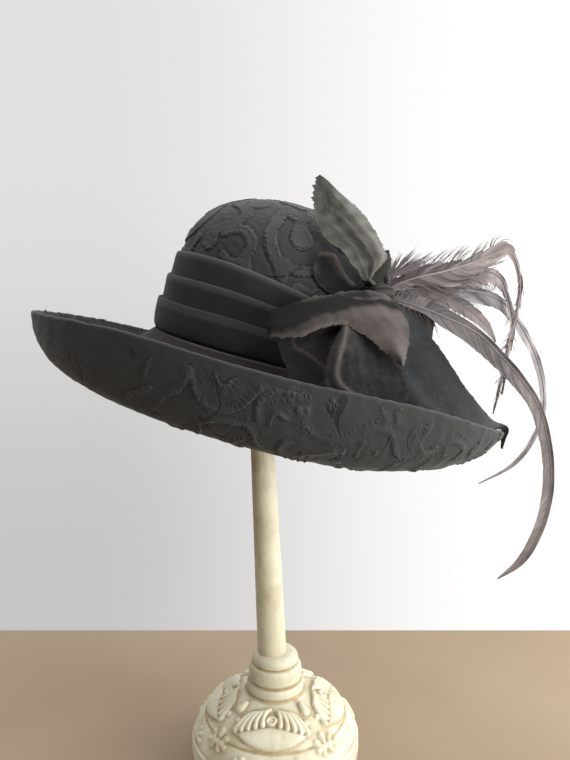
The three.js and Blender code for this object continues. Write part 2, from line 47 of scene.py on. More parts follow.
def smoothRows(rows, u, wrap=False):  # a smooth curve through rows of numbers, u from 0 to 1
    rows = np.asarray(rows, float)
    u = np.asarray(u, float)
    count = len(rows)
    place = (u % 1) * count if wrap else np.clip(u, 0, 1) * (count - 1)
    i = np.floor(place).astype(int)
    if not wrap:
        i = np.minimum(i, count - 2)
    t = (place - i)[..., None]

    def row(k):
        return rows[(i + k) % count] if wrap else rows[np.clip(i + k, 0, count - 1)]

    a, b, c, d = row(-1), row(0), row(1), row(2)
    slopeIn, slopeOut = (c - a) / 2, (d - b) / 2
    t2, t3 = t * t, t * t * t
    return (2 * t3 - 3 * t2 + 1) * b + (t3 - 2 * t2 + t) * slopeIn + (3 * t2 - 2 * t3) * c + (t3 - t2) * slopeOut


def lengthsAlong(path):  # how far along a path each of its points lies
    return np.concatenate([[0], np.cumsum(np.linalg.norm(np.diff(path, axis=0), axis=1))])


def evenRows(rows, columns, spacing, most=2000):  # the u values that step evenly along the curve of some columns
    u = np.linspace(0, 1, most)
    far = lengthsAlong(smoothRows(rows, u)[:, columns])
    return np.interp(np.linspace(0, far[-1], int(far[-1] / spacing) + 1), far, u)


def unit(v):
    return v / np.maximum(np.linalg.norm(v, axis=-1, keepdims=True), 1e-9)


def ramp(value, low, high):  # a soft step from 0 to 1
    t = np.clip((value - low) / (high - low), 0, 1)
    return t * t * (3 - 2 * t)


def hump(value, middle, width):
    return np.exp(-(((value - middle) / width) ** 2))


def stacked(*parts):  # x, y and z, each a number or a grid, as one grid of points
    return np.stack(np.broadcast_arrays(*parts), -1)


def awayFrom(angle, middle):  # degrees from one angle to another, whichever way round is shorter
    return np.abs((angle - middle + 540) % 360 - 180)


def waves(seed, count, lowest, highest):  # a smooth random wave of an angle in degrees, about -1 to 1
    draw = np.random.default_rng(seed)
    turns = draw.integers(lowest, highest + 1, count)
    phases = draw.uniform(0, 2 * math.pi, count)
    sizes = draw.uniform(0.5, 1, count) / math.sqrt(count)
    return lambda angle: sum(s * np.sin(np.radians(angle) * n + p) for n, p, s in zip(turns, phases, sizes))


def ripples(seed, count, shortest, longest):  # a smooth random field in space, about -1 to 1
    draw = np.random.default_rng(seed)
    directions = unit(draw.normal(size=(count, 3))) * (2 * math.pi / draw.uniform(shortest, longest, (count, 1)))
    phases = draw.uniform(0, 2 * math.pi, count)
    return lambda points: sum(np.sin(points @ d + p) for d, p in zip(directions, phases)) / math.sqrt(count)


def gridNormals(grid, wrap=True):  # normals of a grid of points; wrap joins its last column to its first
    down = np.gradient(grid, axis=0)
    across = (np.roll(grid, -1, 1) - np.roll(grid, 1, 1)) if wrap else np.gradient(grid, axis=1)
    return unit(np.cross(down, across))


def gridArea(grid):  # the area of rings of points in millimetres, in square metres
    down, across = np.diff(grid, axis=0), (np.roll(grid, -1, 1) - grid)[:-1]
    return float(np.linalg.norm(np.cross(down, across), axis=-1).sum() * 1e-6)


def softened(values, times, wrap=True):  # the same grid of numbers with its small bumps smoothed away
    for _ in range(times):
        padded = np.pad(values, ((1, 1), (0, 0)), mode="edge")
        values = (padded[:-2] + padded[2:] + 2 * values) / 4
        if wrap:
            values = (np.roll(values, 1, 1) + np.roll(values, -1, 1) + 2 * values) / 4
        else:
            padded = np.pad(values, ((0, 0), (1, 1)), mode="edge")
            values = (padded[:, :-2] + padded[:, 2:] + 2 * values) / 4
    return values


# Faces of closed bodies

def loft(grid, loop=False):  # rings of points, closed at the ends by a fan or by joining up
    rows, columns = grid.shape[:2]
    index = np.arange(rows * columns).reshape(rows, columns)
    nextColumn = np.roll(index, -1, 1)
    low, high = (index, np.roll(index, -1, 0)) if loop else (index[:-1], index[1:])
    lowNext, highNext = (nextColumn, np.roll(nextColumn, -1, 0)) if loop else (nextColumn[:-1], nextColumn[1:])
    quads = np.stack([low, lowNext, highNext, high], -1).reshape(-1, 4)
    points = grid.reshape(-1, 3)
    if loop:
        return points, [quads]
    first, last = len(points), len(points) + 1
    points = np.concatenate([points, [grid[0].mean(0), grid[-1].mean(0)]])
    start = np.stack([np.full(columns, first), nextColumn[0], index[0]], -1)
    end = np.stack([np.full(columns, last), index[-1], nextColumn[-1]], -1)
    return points, [quads, np.concatenate([start, end])]


def shell(front, back):  # two open grids joined along their four borders
    rows, columns = front.shape[:2]
    near = np.arange(rows * columns).reshape(rows, columns)
    far = near + rows * columns
    quads = [
        np.stack([near[:-1, :-1], near[:-1, 1:], near[1:, 1:], near[1:, :-1]], -1).reshape(-1, 4),
        np.stack([far[:-1, :-1], far[1:, :-1], far[1:, 1:], far[:-1, 1:]], -1).reshape(-1, 4),
        np.stack([near[0, 1:], near[0, :-1], far[0, :-1], far[0, 1:]], -1),
        np.stack([near[-1, :-1], near[-1, 1:], far[-1, 1:], far[-1, :-1]], -1),
        np.stack([near[:-1, 0], near[1:, 0], far[1:, 0], far[:-1, 0]], -1),
        np.stack([near[1:, -1], near[:-1, -1], far[:-1, -1], far[1:, -1]], -1),
    ]
    return np.concatenate([front.reshape(-1, 3), back.reshape(-1, 3)]), [np.concatenate(quads)]


def joined(bodies):  # several (points, faces) bodies as one
    points, groups, start = [], {}, 0
    for body, faces in bodies:
        points.append(body)
        for group in faces:
            groups.setdefault(group.shape[1], []).append(group + start)
        start += len(body)
    return np.concatenate(points), [np.concatenate(group) for group in groups.values()]


def facingOut(points, groups):  # the same faces, turned where their volume is negative
    volume = 0
    for faces in groups:
        for k in range(1, faces.shape[1] - 1):
            a, b, c = points[faces[:, 0]], points[faces[:, k]], points[faces[:, k + 1]]
            volume += np.einsum("ij,ij->", a, np.cross(b, c))
    return groups if volume > 0 else [faces[:, ::-1] for faces in groups]


def makePiece(name, body, finish, replaces=(), shades=None, parts=None, thin=False):
    points, groups = body
    groups = facingOut(points, groups)
    mesh = bpy.data.meshes.new(name)
    loops = np.concatenate([faces.ravel() for faces in groups])
    sides = np.concatenate([np.full(len(faces), faces.shape[1]) for faces in groups])
    mesh.vertices.add(len(points))
    mesh.vertices.foreach_set("co", (points * 0.001).ravel())
    mesh.loops.add(len(loops))
    mesh.loops.foreach_set("vertex_index", loops)
    mesh.polygons.add(len(sides))
    mesh.polygons.foreach_set("loop_start", np.concatenate([[0], np.cumsum(sides)[:-1]]))
    mesh.update(calc_edges=True)
    mesh.polygons.foreach_set("use_smooth", np.ones(len(sides), bool))
    if thin:  # a blade's borders stay crisp, so that its face keeps its own shading
        mesh.set_sharp_from_angle(angle=math.radians(50))
    for shade, values in (shades or {}).items():
        values = np.asarray(values, np.float32).ravel()
        values = np.concatenate([values, np.full(len(points) - len(values), values[-1])])
        mesh.attributes.new(shade, "FLOAT", "POINT").data.foreach_set("value", values)
    finishes = finish if isinstance(finish, list) else [finish]
    for each in finishes:
        mesh.materials.append(each)
    if parts is not None:  # which finish each face takes, from its first corner
        chosen = np.concatenate([parts[faces.min(1)] for faces in groups])
        mesh.polygons.foreach_set("material_index", chosen.astype(np.int32))
    made = bpy.data.objects.new(name, mesh)
    scene.collection.objects.link(made)
    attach(made, "root")
    if replaces:
        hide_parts(*replaces)
    print(f"{name}: {sum(len(f) * (f.shape[1] - 2) for f in groups)} triangles")
    return made


# Materials

class Wire:  # one output of a material's node, which takes part in sums as a number does
    def __init__(self, finish, socket):
        self.finish, self.socket = finish, socket

    def sum(self, operation, *values):
        return self.finish.node("ShaderNodeMath", {"operation": operation}, dict(enumerate(values)))

    def __add__(self, other): return self.sum("ADD", self, other)
    def __radd__(self, other): return self.sum("ADD", other, self)
    def __sub__(self, other): return self.sum("SUBTRACT", self, other)
    def __rsub__(self, other): return self.sum("SUBTRACT", other, self)
    def __mul__(self, other): return self.sum("MULTIPLY", self, other)
    def __rmul__(self, other): return self.sum("MULTIPLY", other, self)

    def sine(self):
        return self.sum("SINE", self)

    def near(self, middle, width):  # 1 at a value, falling to 0 at a width to either side of it
        off = self - middle
        return (off * off).step(width * width, 0.0)

    def step(self, low, high):  # a soft step from 0 to 1
        limits = {"Value": self, "From Min": low, "From Max": high}
        return self.finish.node("ShaderNodeMapRange", {"interpolation_type": "SMOOTHSTEP"}, limits)


class Nodes:  # the nodes of a material or a world
    def __init__(self, owner):
        owner.use_nodes = True
        self.tree = owner.node_tree

    def node(self, kind, settings=None, values=None, output=0):
        made = self.tree.nodes.new(kind)
        for key, value in (settings or {}).items():
            setattr(made, key, value)
        for key, value in (values or {}).items():
            self.feed(made.inputs[key], value)
        return Wire(self, made.outputs[output])

    def feed(self, socket, value):
        if isinstance(value, Wire):
            self.tree.links.new(value.socket, socket)
        else:
            socket.default_value = value


class Finish(Nodes):  # one material: a Principled shader and the nodes that feed it
    def __init__(self, name, **constants):
        self.material = bpy.data.materials.new(name)
        super().__init__(self.material)
        self.shader = self.tree.nodes["Principled BSDF"]
        for socket, value in constants.items():
            self.shader.inputs[socket.replace("_", " ")].default_value = value
        self.where = self.node("ShaderNodeTexCoord", output="Object")

    def noise(self, size, detail=3, where=None, rough=0.5):  # size in millimetres
        values = {"Vector": where or self.where, "Scale": 1000 / size, "Detail": detail, "Roughness": rough}
        return self.node("ShaderNodeTexNoise", None, values, "Fac")

    def cells(self, size):  # how far a point is from the nearest border between cells
        values = {"Vector": self.where, "Scale": 1000 / size}
        return self.node("ShaderNodeTexVoronoi", {"feature": "DISTANCE_TO_EDGE"}, values, "Distance")

    def shade(self, name):
        return self.node("ShaderNodeAttribute", {"attribute_name": name}, None, "Fac")

    def stretched(self, x, y, z):
        return self.node("ShaderNodeMapping", None, {"Vector": self.where, "Scale": (x, y, z)})

    def mix(self, share, first, second):
        made = self.tree.nodes.new("ShaderNodeMix")
        made.data_type = "RGBA"
        for key, value in ((0, share), (6, first), (7, second)):
            if isinstance(value, tuple):
                value = (*value, 1)
            self.feed(made.inputs[key], value)
        return Wire(self, made.outputs[2])

    def bump(self, height, distance, strength):  # distance in millimetres
        values = {"Height": height, "Distance": distance * 0.001, "Strength": strength}
        return self.node("ShaderNodeBump", None, values)

    def use(self, **inputs):
        for socket, value in inputs.items():
            self.feed(self.shader.inputs[socket.replace("_", " ")], value)
        return self.material


def tone(r, g, b):  # a colour as it looks on the screen, 0 to 255
    return tuple(((v / 255 + 0.055) / 1.055) ** 2.4 if v > 10 else v / 255 / 12.92 for v in (r, g, b))


def reliefClothFinish():
    cloth = Finish("relief_cloth", Roughness=0.7, Sheen_Weight=0.12, Sheen_Roughness=0.4, Specular_IOR_Level=0.35)
    fray = (cloth.noise(15, 2) - 0.5) * 4 + (cloth.noise(5, 3) - 0.5) * 2.2 + (cloth.noise(1.8, 2) - 0.5) * 1.1
    inside = cloth.shade("inside") + fray  # millimetres inside a scroll's edge
    clear = 0.2 + 0.8 * cloth.noise(34, 2).step(0.36, 0.56)  # where the relief stands out well
    gathered = cloth.noise(24, 2).step(0.38, 0.58)
    pucker = (cloth.shade("along") * (2 * math.pi / 3.4) + cloth.noise(8, 2) * 9).sine()
    crisp = cloth.shade("tuck").step(-0.3, 0.6)
    raised = inside.step(-0.25, 0.5) * clear * crisp
    seam = inside.near(0.7, 2.2) * clear
    wrinkle = cloth.noise(40, 1).near(0.5, 0.012) * cloth.noise(30, 2).step(0.46, 0.6)
    crushed = cloth.cells(4.5).step(0.0, 0.25) * cloth.noise(20, 3).step(0.45, 0.62)
    base = cloth.mix(raised, tone(40, 43, 43), tone(49, 52, 52))
    base = cloth.mix(cloth.noise(16, 4).step(0.35, 0.7) * 0.4, base, tone(32, 34, 34))
    # painted highlight: a pale line along the standing edge of each scroll, broken up by noise
    edgeHighlight = inside.near(0.5, 0.6) * clear * crisp * cloth.noise(7, 3).step(0.42, 0.66) * 0.4
    base = cloth.mix(edgeHighlight, base, tone(82, 84, 83))
    # painted shade in the troughs of the gathers along the scrolls' edges
    base = cloth.mix((0 - pucker).step(0.2, 1.0) * seam * gathered * 0.45, base, tone(18, 18, 19))
    # painted shade: a dark line in the crease just outside each scroll's standing edge, and along the wrinkle lines
    creaseShade = inside.near(-0.55, 0.85) * clear * crisp * (0.25 + 0.75 * cloth.noise(12, 2).step(0.4, 0.6))
    base = cloth.mix(creaseShade + wrinkle * 0.7, base, tone(12, 12, 13))
    height = raised * 0.65 + pucker * seam * gathered * 0.24 + crushed * inside.near(1.2, 3.4) * 0.75 - wrinkle * 0.5
    height = height + cloth.noise(0.6, 2, cloth.stretched(1, 1, 2.2)) * 0.16 + cloth.noise(2.2, 3) * 0.22
    return cloth.use(Base_Color=base, Roughness=0.76 - raised * 0.08, Normal=cloth.bump(height, 1.0, 0.85))


def feltFinish(name, first, second, light):
    felt = Finish(name, Roughness=0.95, Sheen_Weight=0.12, Sheen_Roughness=0.6, Specular_IOR_Level=0.15)
    base = felt.mix(felt.noise(22, 4).step(0.3, 0.7), first, second)
    base = felt.mix(felt.noise(1.6, 3).step(0.5, 0.8) * 0.3, base, light)
    nap = felt.noise(0.8, 3) + felt.noise(6, 3)
    return felt.use(Base_Color=base, Normal=felt.bump(nap, 0.25, 0.7))


def crepeFinish():
    crepe = Finish("band_crepe", Roughness=0.8, Sheen_Weight=0.08, Sheen_Roughness=0.5, Specular_IOR_Level=0.25)
    base = crepe.mix(crepe.noise(30, 3).step(0.3, 0.7), tone(30, 30, 30), tone(39, 38, 38))
    # painted highlight: the band's pleat crests, given by the edge shade, are lighter
    base = crepe.mix(crepe.shade("edge").step(0.2, 1.0) * 0.4, base, tone(80, 79, 80))
    crinkle = crepe.noise(1.3, 3, crepe.stretched(1, 1, 3)) + crepe.noise(0.5, 2)
    return crepe.use(Base_Color=base, Normal=crepe.bump(crinkle, 0.16, 0.7))


def velvetFinish(name, colours):
    dark, light = (tone(*colour) for colour in colours)
    velvet = Finish(name, Roughness=0.82, Sheen_Weight=0.16, Sheen_Roughness=0.35,
                    Sheen_Tint=(*tone(190, 180, 176), 1), Specular_IOR_Level=0.2)
    crushed = velvet.noise(5, 4, None, 0.6)
    # the light shade holds the leaf's own tone together with painted highlight and painted shade from its folds,
    # streaks and edges
    base = velvet.mix((velvet.shade("light") + crushed * 0.36 - 0.18).step(0.0, 1.0), dark, light)
    pile = velvet.noise(0.7, 3) + velvet.noise(2.6, 4) * 1.5
    return velvet.use(Base_Color=base, Normal=velvet.bump(pile, 0.3, 0.9))


def featherFinish(name, colours):
    dark, light = (tone(*colour) for colour in colours)
    barb = Finish(name, Roughness=0.55, Sheen_Weight=0.15, Sheen_Roughness=0.4, Specular_IOR_Level=0.35)
    base = barb.mix(barb.shade("tint"), dark, light)
    base = barb.mix(barb.noise(14, 4).step(0.35, 0.75) * 0.35, base, dark)
    return barb.use(Base_Color=base, Normal=barb.bump(barb.noise(3, 3), 0.1, 0.6))


def paintFinish():
    paint = Finish("stand_paint", Roughness=0.5)
    cream = paint.mix(paint.noise(28, 4).step(0.3, 0.75), tone(203, 199, 176), tone(188, 183, 157))
    ochre = paint.mix(paint.noise(7, 4).step(0.3, 0.8), tone(158, 134, 92), tone(130, 106, 68))
    smudge = paint.noise(30, 5, paint.stretched(1, 1, 0.6), 0.65).step(0.45, 0.72)
    # ochre in the carving's hollows and the collar's grooves, more where the surface lies below its surroundings,
    # broken up by noise
    hollowOchre = paint.shade("hollow").step(0.12, 0.85) * (0.5 + 0.7 * paint.noise(6, 4))
    base = paint.mix(smudge * 0.42, cream, ochre)
    base = paint.mix(hollowOchre * 0.95, base, ochre)
    flecks = paint.noise(2.6, 5, None, 0.75).step(0.6, 0.7) * paint.noise(24, 2).step(0.42, 0.62)
    base = paint.mix(flecks * 0.65, base, tone(132, 110, 76))
    brushed = paint.noise(4, 4) * 1.6 + paint.noise(0.9, 2) * 0.5
    return paint.use(Base_Color=base, Roughness=0.48 + hollowOchre * 0.25, Normal=paint.bump(brushed, 0.3, 0.8))


reliefCloth = reliefClothFinish()
felt = feltFinish("brim_felt", tone(26, 21, 20), tone(35, 28, 27), tone(50, 42, 40))
lining = feltFinish("crown_lining", tone(40, 36, 35), tone(50, 45, 43), tone(70, 63, 60))
crepe = crepeFinish()
paint = paintFinish()
print("materials ready")


# How the hat sits on its stand, and its shape, as in the part's source

hatPose = {"x": 1.4, "z": 387.7, "tipBack": 14, "tipAway": 3}


def onStand(points):  # from the hat's own frame to the stand's
    back, away = math.radians(hatPose["tipBack"]), math.radians(-hatPose["tipAway"])
    turnY = np.array([[math.cos(back), 0, math.sin(back)], [0, 1, 0], [-math.sin(back), 0, math.cos(back)]])
    turnX = np.array([[1, 0, 0], [0, math.cos(away), -math.sin(away)], [0, math.sin(away), math.cos(away)]])
    return points @ (turnY @ turnX).T + np.array([hatPose["x"], 0, hatPose["z"]])


def oval(front, back, side, angle, z):  # points of an oval ring, from its back round
    a = np.radians(angle)
    x = (back - front) / 2 + (back + front) / 2 * np.cos(a)
    return stacked(x, side * np.sin(a), z)


# Scrolls that run over a surface without crossing, and the relief that they raise in the cloth

def drawnScroll(points, half, head, number, step):  # a scroll along set points, with a head at its start
    path = smoothRows(points, evenRows(np.array(points), [0, 1, 2], step))
    walked = lengthsAlong(path)
    width = half + (head - half) * np.exp(-((walked / (1.1 * head)) ** 2))
    width *= np.clip(0.6 + (walked[-1] - walked) / (3 * half), 0, 1)
    direction = unit(np.gradient(path, axis=0))
    return np.column_stack([path, direction, width, walked, np.full(len(path), number)])


def growScrolls(surface, normals, allowed, scrolls, drawn):
    draw = np.random.default_rng(scrolls["seed"])
    tree = kdtree.KDTree(len(surface))
    for i, point in enumerate(surface):
        tree.insert(point, i)
    tree.balance()
    # each row: place, direction, half width, distance along, number of its scroll
    rows = np.concatenate([drawnScroll(points, half, head, 1000 + i, 1.2)
                           for i, (half, head, points) in enumerate(drawn)])
    wanted = np.flatnonzero(allowed)
    for number in range(scrolls["tries"]):
        start = draw.choice(wanted)
        place, normal = surface[start], normals[start]
        heading = unit(np.cross(normal, draw.normal(size=3)))
        kind = draw.integers(4)
        bend = draw.uniform(*scrolls["bend"]) * draw.choice([-1, 1])
        length = draw.uniform(*scrolls["length"])
        width = draw.uniform(*scrolls["halfWidth"])
        head = scrolls["head"] * draw.uniform(0, 1)
        grown = []
        walked = 0.0
        while walked < length:
            share = walked / length
            half = width * (1 - 0.4 * share ** 2)
            if kind < 3:  # a round head
                half *= 1 + head * math.exp(-((walked / (1.1 * width)) ** 2))
            clear = np.linalg.norm(rows[:, :3] - place, axis=1) - rows[:, 6] - half
            if clear.min() < scrolls["gap"]:
                break
            own = [g for g in grown if walked - g[7] > 3.2 * width]
            if own and min(np.linalg.norm(place - g[:3]) - g[6] for g in own) < half + 0.4 * scrolls["gap"]:
                break
            grown.append(np.array([*place, *heading, half, walked, number]))
            turn = {0: bend * (1.9 - 1.7 * share), 1: bend * math.cos(math.pi * share * 1.3), 2: bend,
                    3: bend * (0.3 + 1.6 * share)}[kind] * scrolls["step"]
            heading = unit(heading * math.cos(turn) + np.cross(normal, heading) * math.sin(turn))
            ahead = place + heading * scrolls["step"]
            i = tree.find(ahead)[1]
            if not allowed[i]:
                break
            normal = normals[i]
            place = ahead - normal * ((ahead - surface[i]) @ normal)
            heading = unit(heading - normal * (heading @ normal))
            walked += scrolls["step"]
        if walked > scrolls["shortest"]:
            rows = np.concatenate([rows, grown])
    return rows


# How deep inside a scroll each point of a surface is, how far along it, and to which side
def scrollField(surface, normals, rows, reach=14.0):
    inside, nearest = np.empty(len(surface)), np.empty(len(surface), int)
    squares = (rows[:, :3] ** 2).sum(1)
    for start in range(0, len(surface), 6000):
        part = surface[start:start + 6000]
        gone = (part ** 2).sum(1)[:, None] + squares - 2 * part @ rows[:, :3].T
        deep = rows[:, 6] - np.sqrt(np.maximum(gone, 0))
        nearest[start:start + 6000] = deep.argmax(1)
        inside[start:start + 6000] = deep.max(1)
    near = rows[nearest]
    off = surface - near[:, :3]
    along = near[:, 7] + np.einsum("ij,ij->i", off, near[:, 3:6])
    side = np.einsum("ij,ij->i", off, np.cross(near[:, 3:6], normals)) / near[:, 6] * (1 - 2 * (near[:, 8] % 2))
    return np.maximum(inside, -reach), along + near[:, 8] * 7.3, np.clip(side, -1.5, 1.5)


# Raised ribbons and tucks, whose crisp edges and gathers are in the cloth's finish
def mouldRelief(surface, normals, rows, height):
    seed = height["seed"]
    inside, along, side = scrollField(surface, normals, rows)
    tuck = 1 - height["tuck"] * (1 - side)  # 1 where an edge stands out, lower towards a tuck's flat side
    crisp = ramp(tuck, -0.7, 0.7)
    frayed = inside + height["ragged"] * ripples(seed, 9, 3, 9)(surface)
    gathered = ramp(ripples(seed + 1, 7, 18, 45)(surface), -0.5, 0.6)
    pucker = np.sin(2 * math.pi * along / height["puckerLength"] + 1.3 * ripples(seed + 2, 6, 6, 15)(surface))
    raised = ramp(frayed, -0.4, height["edgeWidth"]) * crisp
    lift = height["ribbon"] * raised + height["ridge"] * hump(frayed, height["edgeWidth"], 1.1) * crisp
    lift -= height["groove"] * hump(frayed, -1.0, 1.1) * crisp
    across = height["across"] * raised + (1 - height["across"]) * hump(frayed, 0.4, 2.4)
    lift += height["pucker"] * pucker * across * gathered
    lift += height["ground"] * ripples(seed + 3, 8, 5, 16)(surface) * (1 - 0.6 * raised)
    return lift, {"inside": inside, "along": along, "tuck": tuck}


# Crown

crown = {
    "levels": [  # z, reach to the front, to the back and to the side
        [-5, 101, 101, 84], [22, 100, 98.5, 83], [45, 98.5, 95, 81.5], [65, 96, 90, 79], [83, 92.3, 80, 73.5],
        [96, 84.5, 68, 65.5], [107, 72.5, 54.5, 54.5], [114.5, 58.5, 41, 42], [119.3, 44, 26, 28.5],
        [121.8, 27.5, 10, 14], [122.4, 9, -9, 0],
    ],
    "around": 560,
    "coarseBelow": 40,  # hidden behind the band
    "spacing": 1.05,
    "wall": 2.2,
    "scrolls": {"seed": 11, "tries": 620, "step": 1.6, "halfWidth": (4.0, 6.0), "head": 0.5, "length": (26, 100),
                "bend": (0.03, 0.075), "gap": 4.5, "shortest": 15},
    "drawn": [  # the scrolls on the near side: half width, that of the head, and places by angle and height
        (5.2, 7.5, [[222.2, 75.3], [222.8, 81.9], [225.5, 86.9], [231.2, 90.3], [235.2, 95.9], [235.5, 101.7],
                    [227.8, 107.1], [212.2, 109.7]]),
        (4.2, 4.2, [[230.2, 84.0], [234.8, 88.0], [241.8, 88.5], [247.0, 82.8], [248.0, 76.4], [246.0, 69.7],
                    [247.0, 63.6], [248.8, 59.0]]),
        (3.2, 3.2, [[233.5, 67.4], [237.8, 63.6], [242.0, 63.2], [244.5, 67.8]]),
        (4.2, 4.2, [[226.2, 111.1], [232.5, 110.3], [237.2, 110.5], [239.0, 112.4], [238.0, 115.1]]),
        (4.8, 4.8, [[257.8, 110.5], [257.0, 102.0], [256.2, 94.9], [257.0, 86.4], [259.0, 77.8], [262.5, 70.8],
                    [264.0, 64.7], [265.8, 59.0]]),
        (3.8, 3.8, [[265.5, 72.0], [268.2, 68.9], [272.5, 68.9], [276.8, 70.1], [281.2, 72.0]]),
        (4.2, 8.6, [[273.2, 92.0], [272.2, 99.4], [273.2, 106.0], [278.0, 112.7]]),
        (5.5, 5.5, [[263.2, 112.1], [268.0, 108.2], [271.8, 110.9]]),
    ],
    "relief": {"ribbon": 0.7, "ridge": 0.15, "groove": 0.35, "pucker": 0.2, "puckerLength": 4.6, "edgeWidth": 1.0,
               "ragged": 0.35, "across": 0.15, "ground": 0.14, "tuck": 0.25, "seed": 61},
}


def crownRows(u, angle, inward=0.0):
    level = smoothRows(crown["levels"], u)
    near = smoothRows(crown["levels"], np.minimum(u + 0.01, 1)) - smoothRows(crown["levels"], np.maximum(u - 0.01, 0))
    out = near[:, 0] / np.hypot(near[:, 0], near[:, 3])
    rise = -near[:, 3] / np.hypot(near[:, 0], near[:, 3])
    z, front, back, side = level.T
    front, back, side = front - inward * out, back - inward * out, np.maximum(side - inward * out, 0)
    return oval(front[:, None], back[:, None], side[:, None], angle[None, :], (z - inward * rise)[:, None])


def crownPlaces(places):  # points on the crown from pairs of angle and height
    levels = smoothRows(crown["levels"], np.linspace(0, 1, 400))
    angle, z = np.array(places, float).T
    front, back, side = (np.interp(z, levels[:, 0], levels[:, k]) for k in (1, 2, 3))
    return oval(front, back, side, angle, z)


def buildCrown():
    angle = np.linspace(0, 360, crown["around"], endpoint=False)
    fine = evenRows(crown["levels"], [0, 1], crown["spacing"])[::-1]
    heights = smoothRows(crown["levels"], fine)[:, 0]
    hidden = fine[heights < crown["coarseBelow"]]
    fine = np.concatenate([fine[heights >= crown["coarseBelow"]][1:], hidden[::6], [0.0]])
    outside = crownRows(fine, angle)
    normals = gridNormals(outside)
    if (normals[:, :, 0] * outside[:, :, 0]).sum() < 0:
        normals = -normals
    surface = outside.reshape(-1, 3)
    visible = surface[:, 2] > crown["coarseBelow"] + 6
    drawn = [(half, head, crownPlaces(places)) for half, head, places in crown["drawn"]]
    rows = growScrolls(surface, normals.reshape(-1, 3), visible, crown["scrolls"], drawn)
    lift, shades = mouldRelief(surface, normals.reshape(-1, 3), rows, crown["relief"])
    lift *= ramp(surface[:, 2], crown["coarseBelow"] - 2, crown["coarseBelow"] + 8)
    outside = outside + normals * lift.reshape(normals.shape[:2])[:, :, None]
    within = crownRows(np.linspace(0, 0.985, 14), angle, crown["wall"])
    body = loft(onStand(np.concatenate([outside, within])))
    count = outside.shape[0] * outside.shape[1]
    zero = np.zeros(within.shape[0] * within.shape[1])
    parts = np.concatenate([np.zeros(count), np.ones(len(body[0]) - count)])
    parts[-2] = 0
    shades = {name: np.concatenate([values, zero - 9]) for name, values in shades.items()}
    made = makePiece("crown_cloth", body, [reliefCloth, lining], ["crown"], shades, parts)
    crownArea()


def crownArea():  # the crown's own area, from its levels, in square metres
    grid = crownRows(np.linspace(0, 1, 60), np.linspace(0, 360, 90, endpoint=False))
    return gridArea(grid)


# Brim

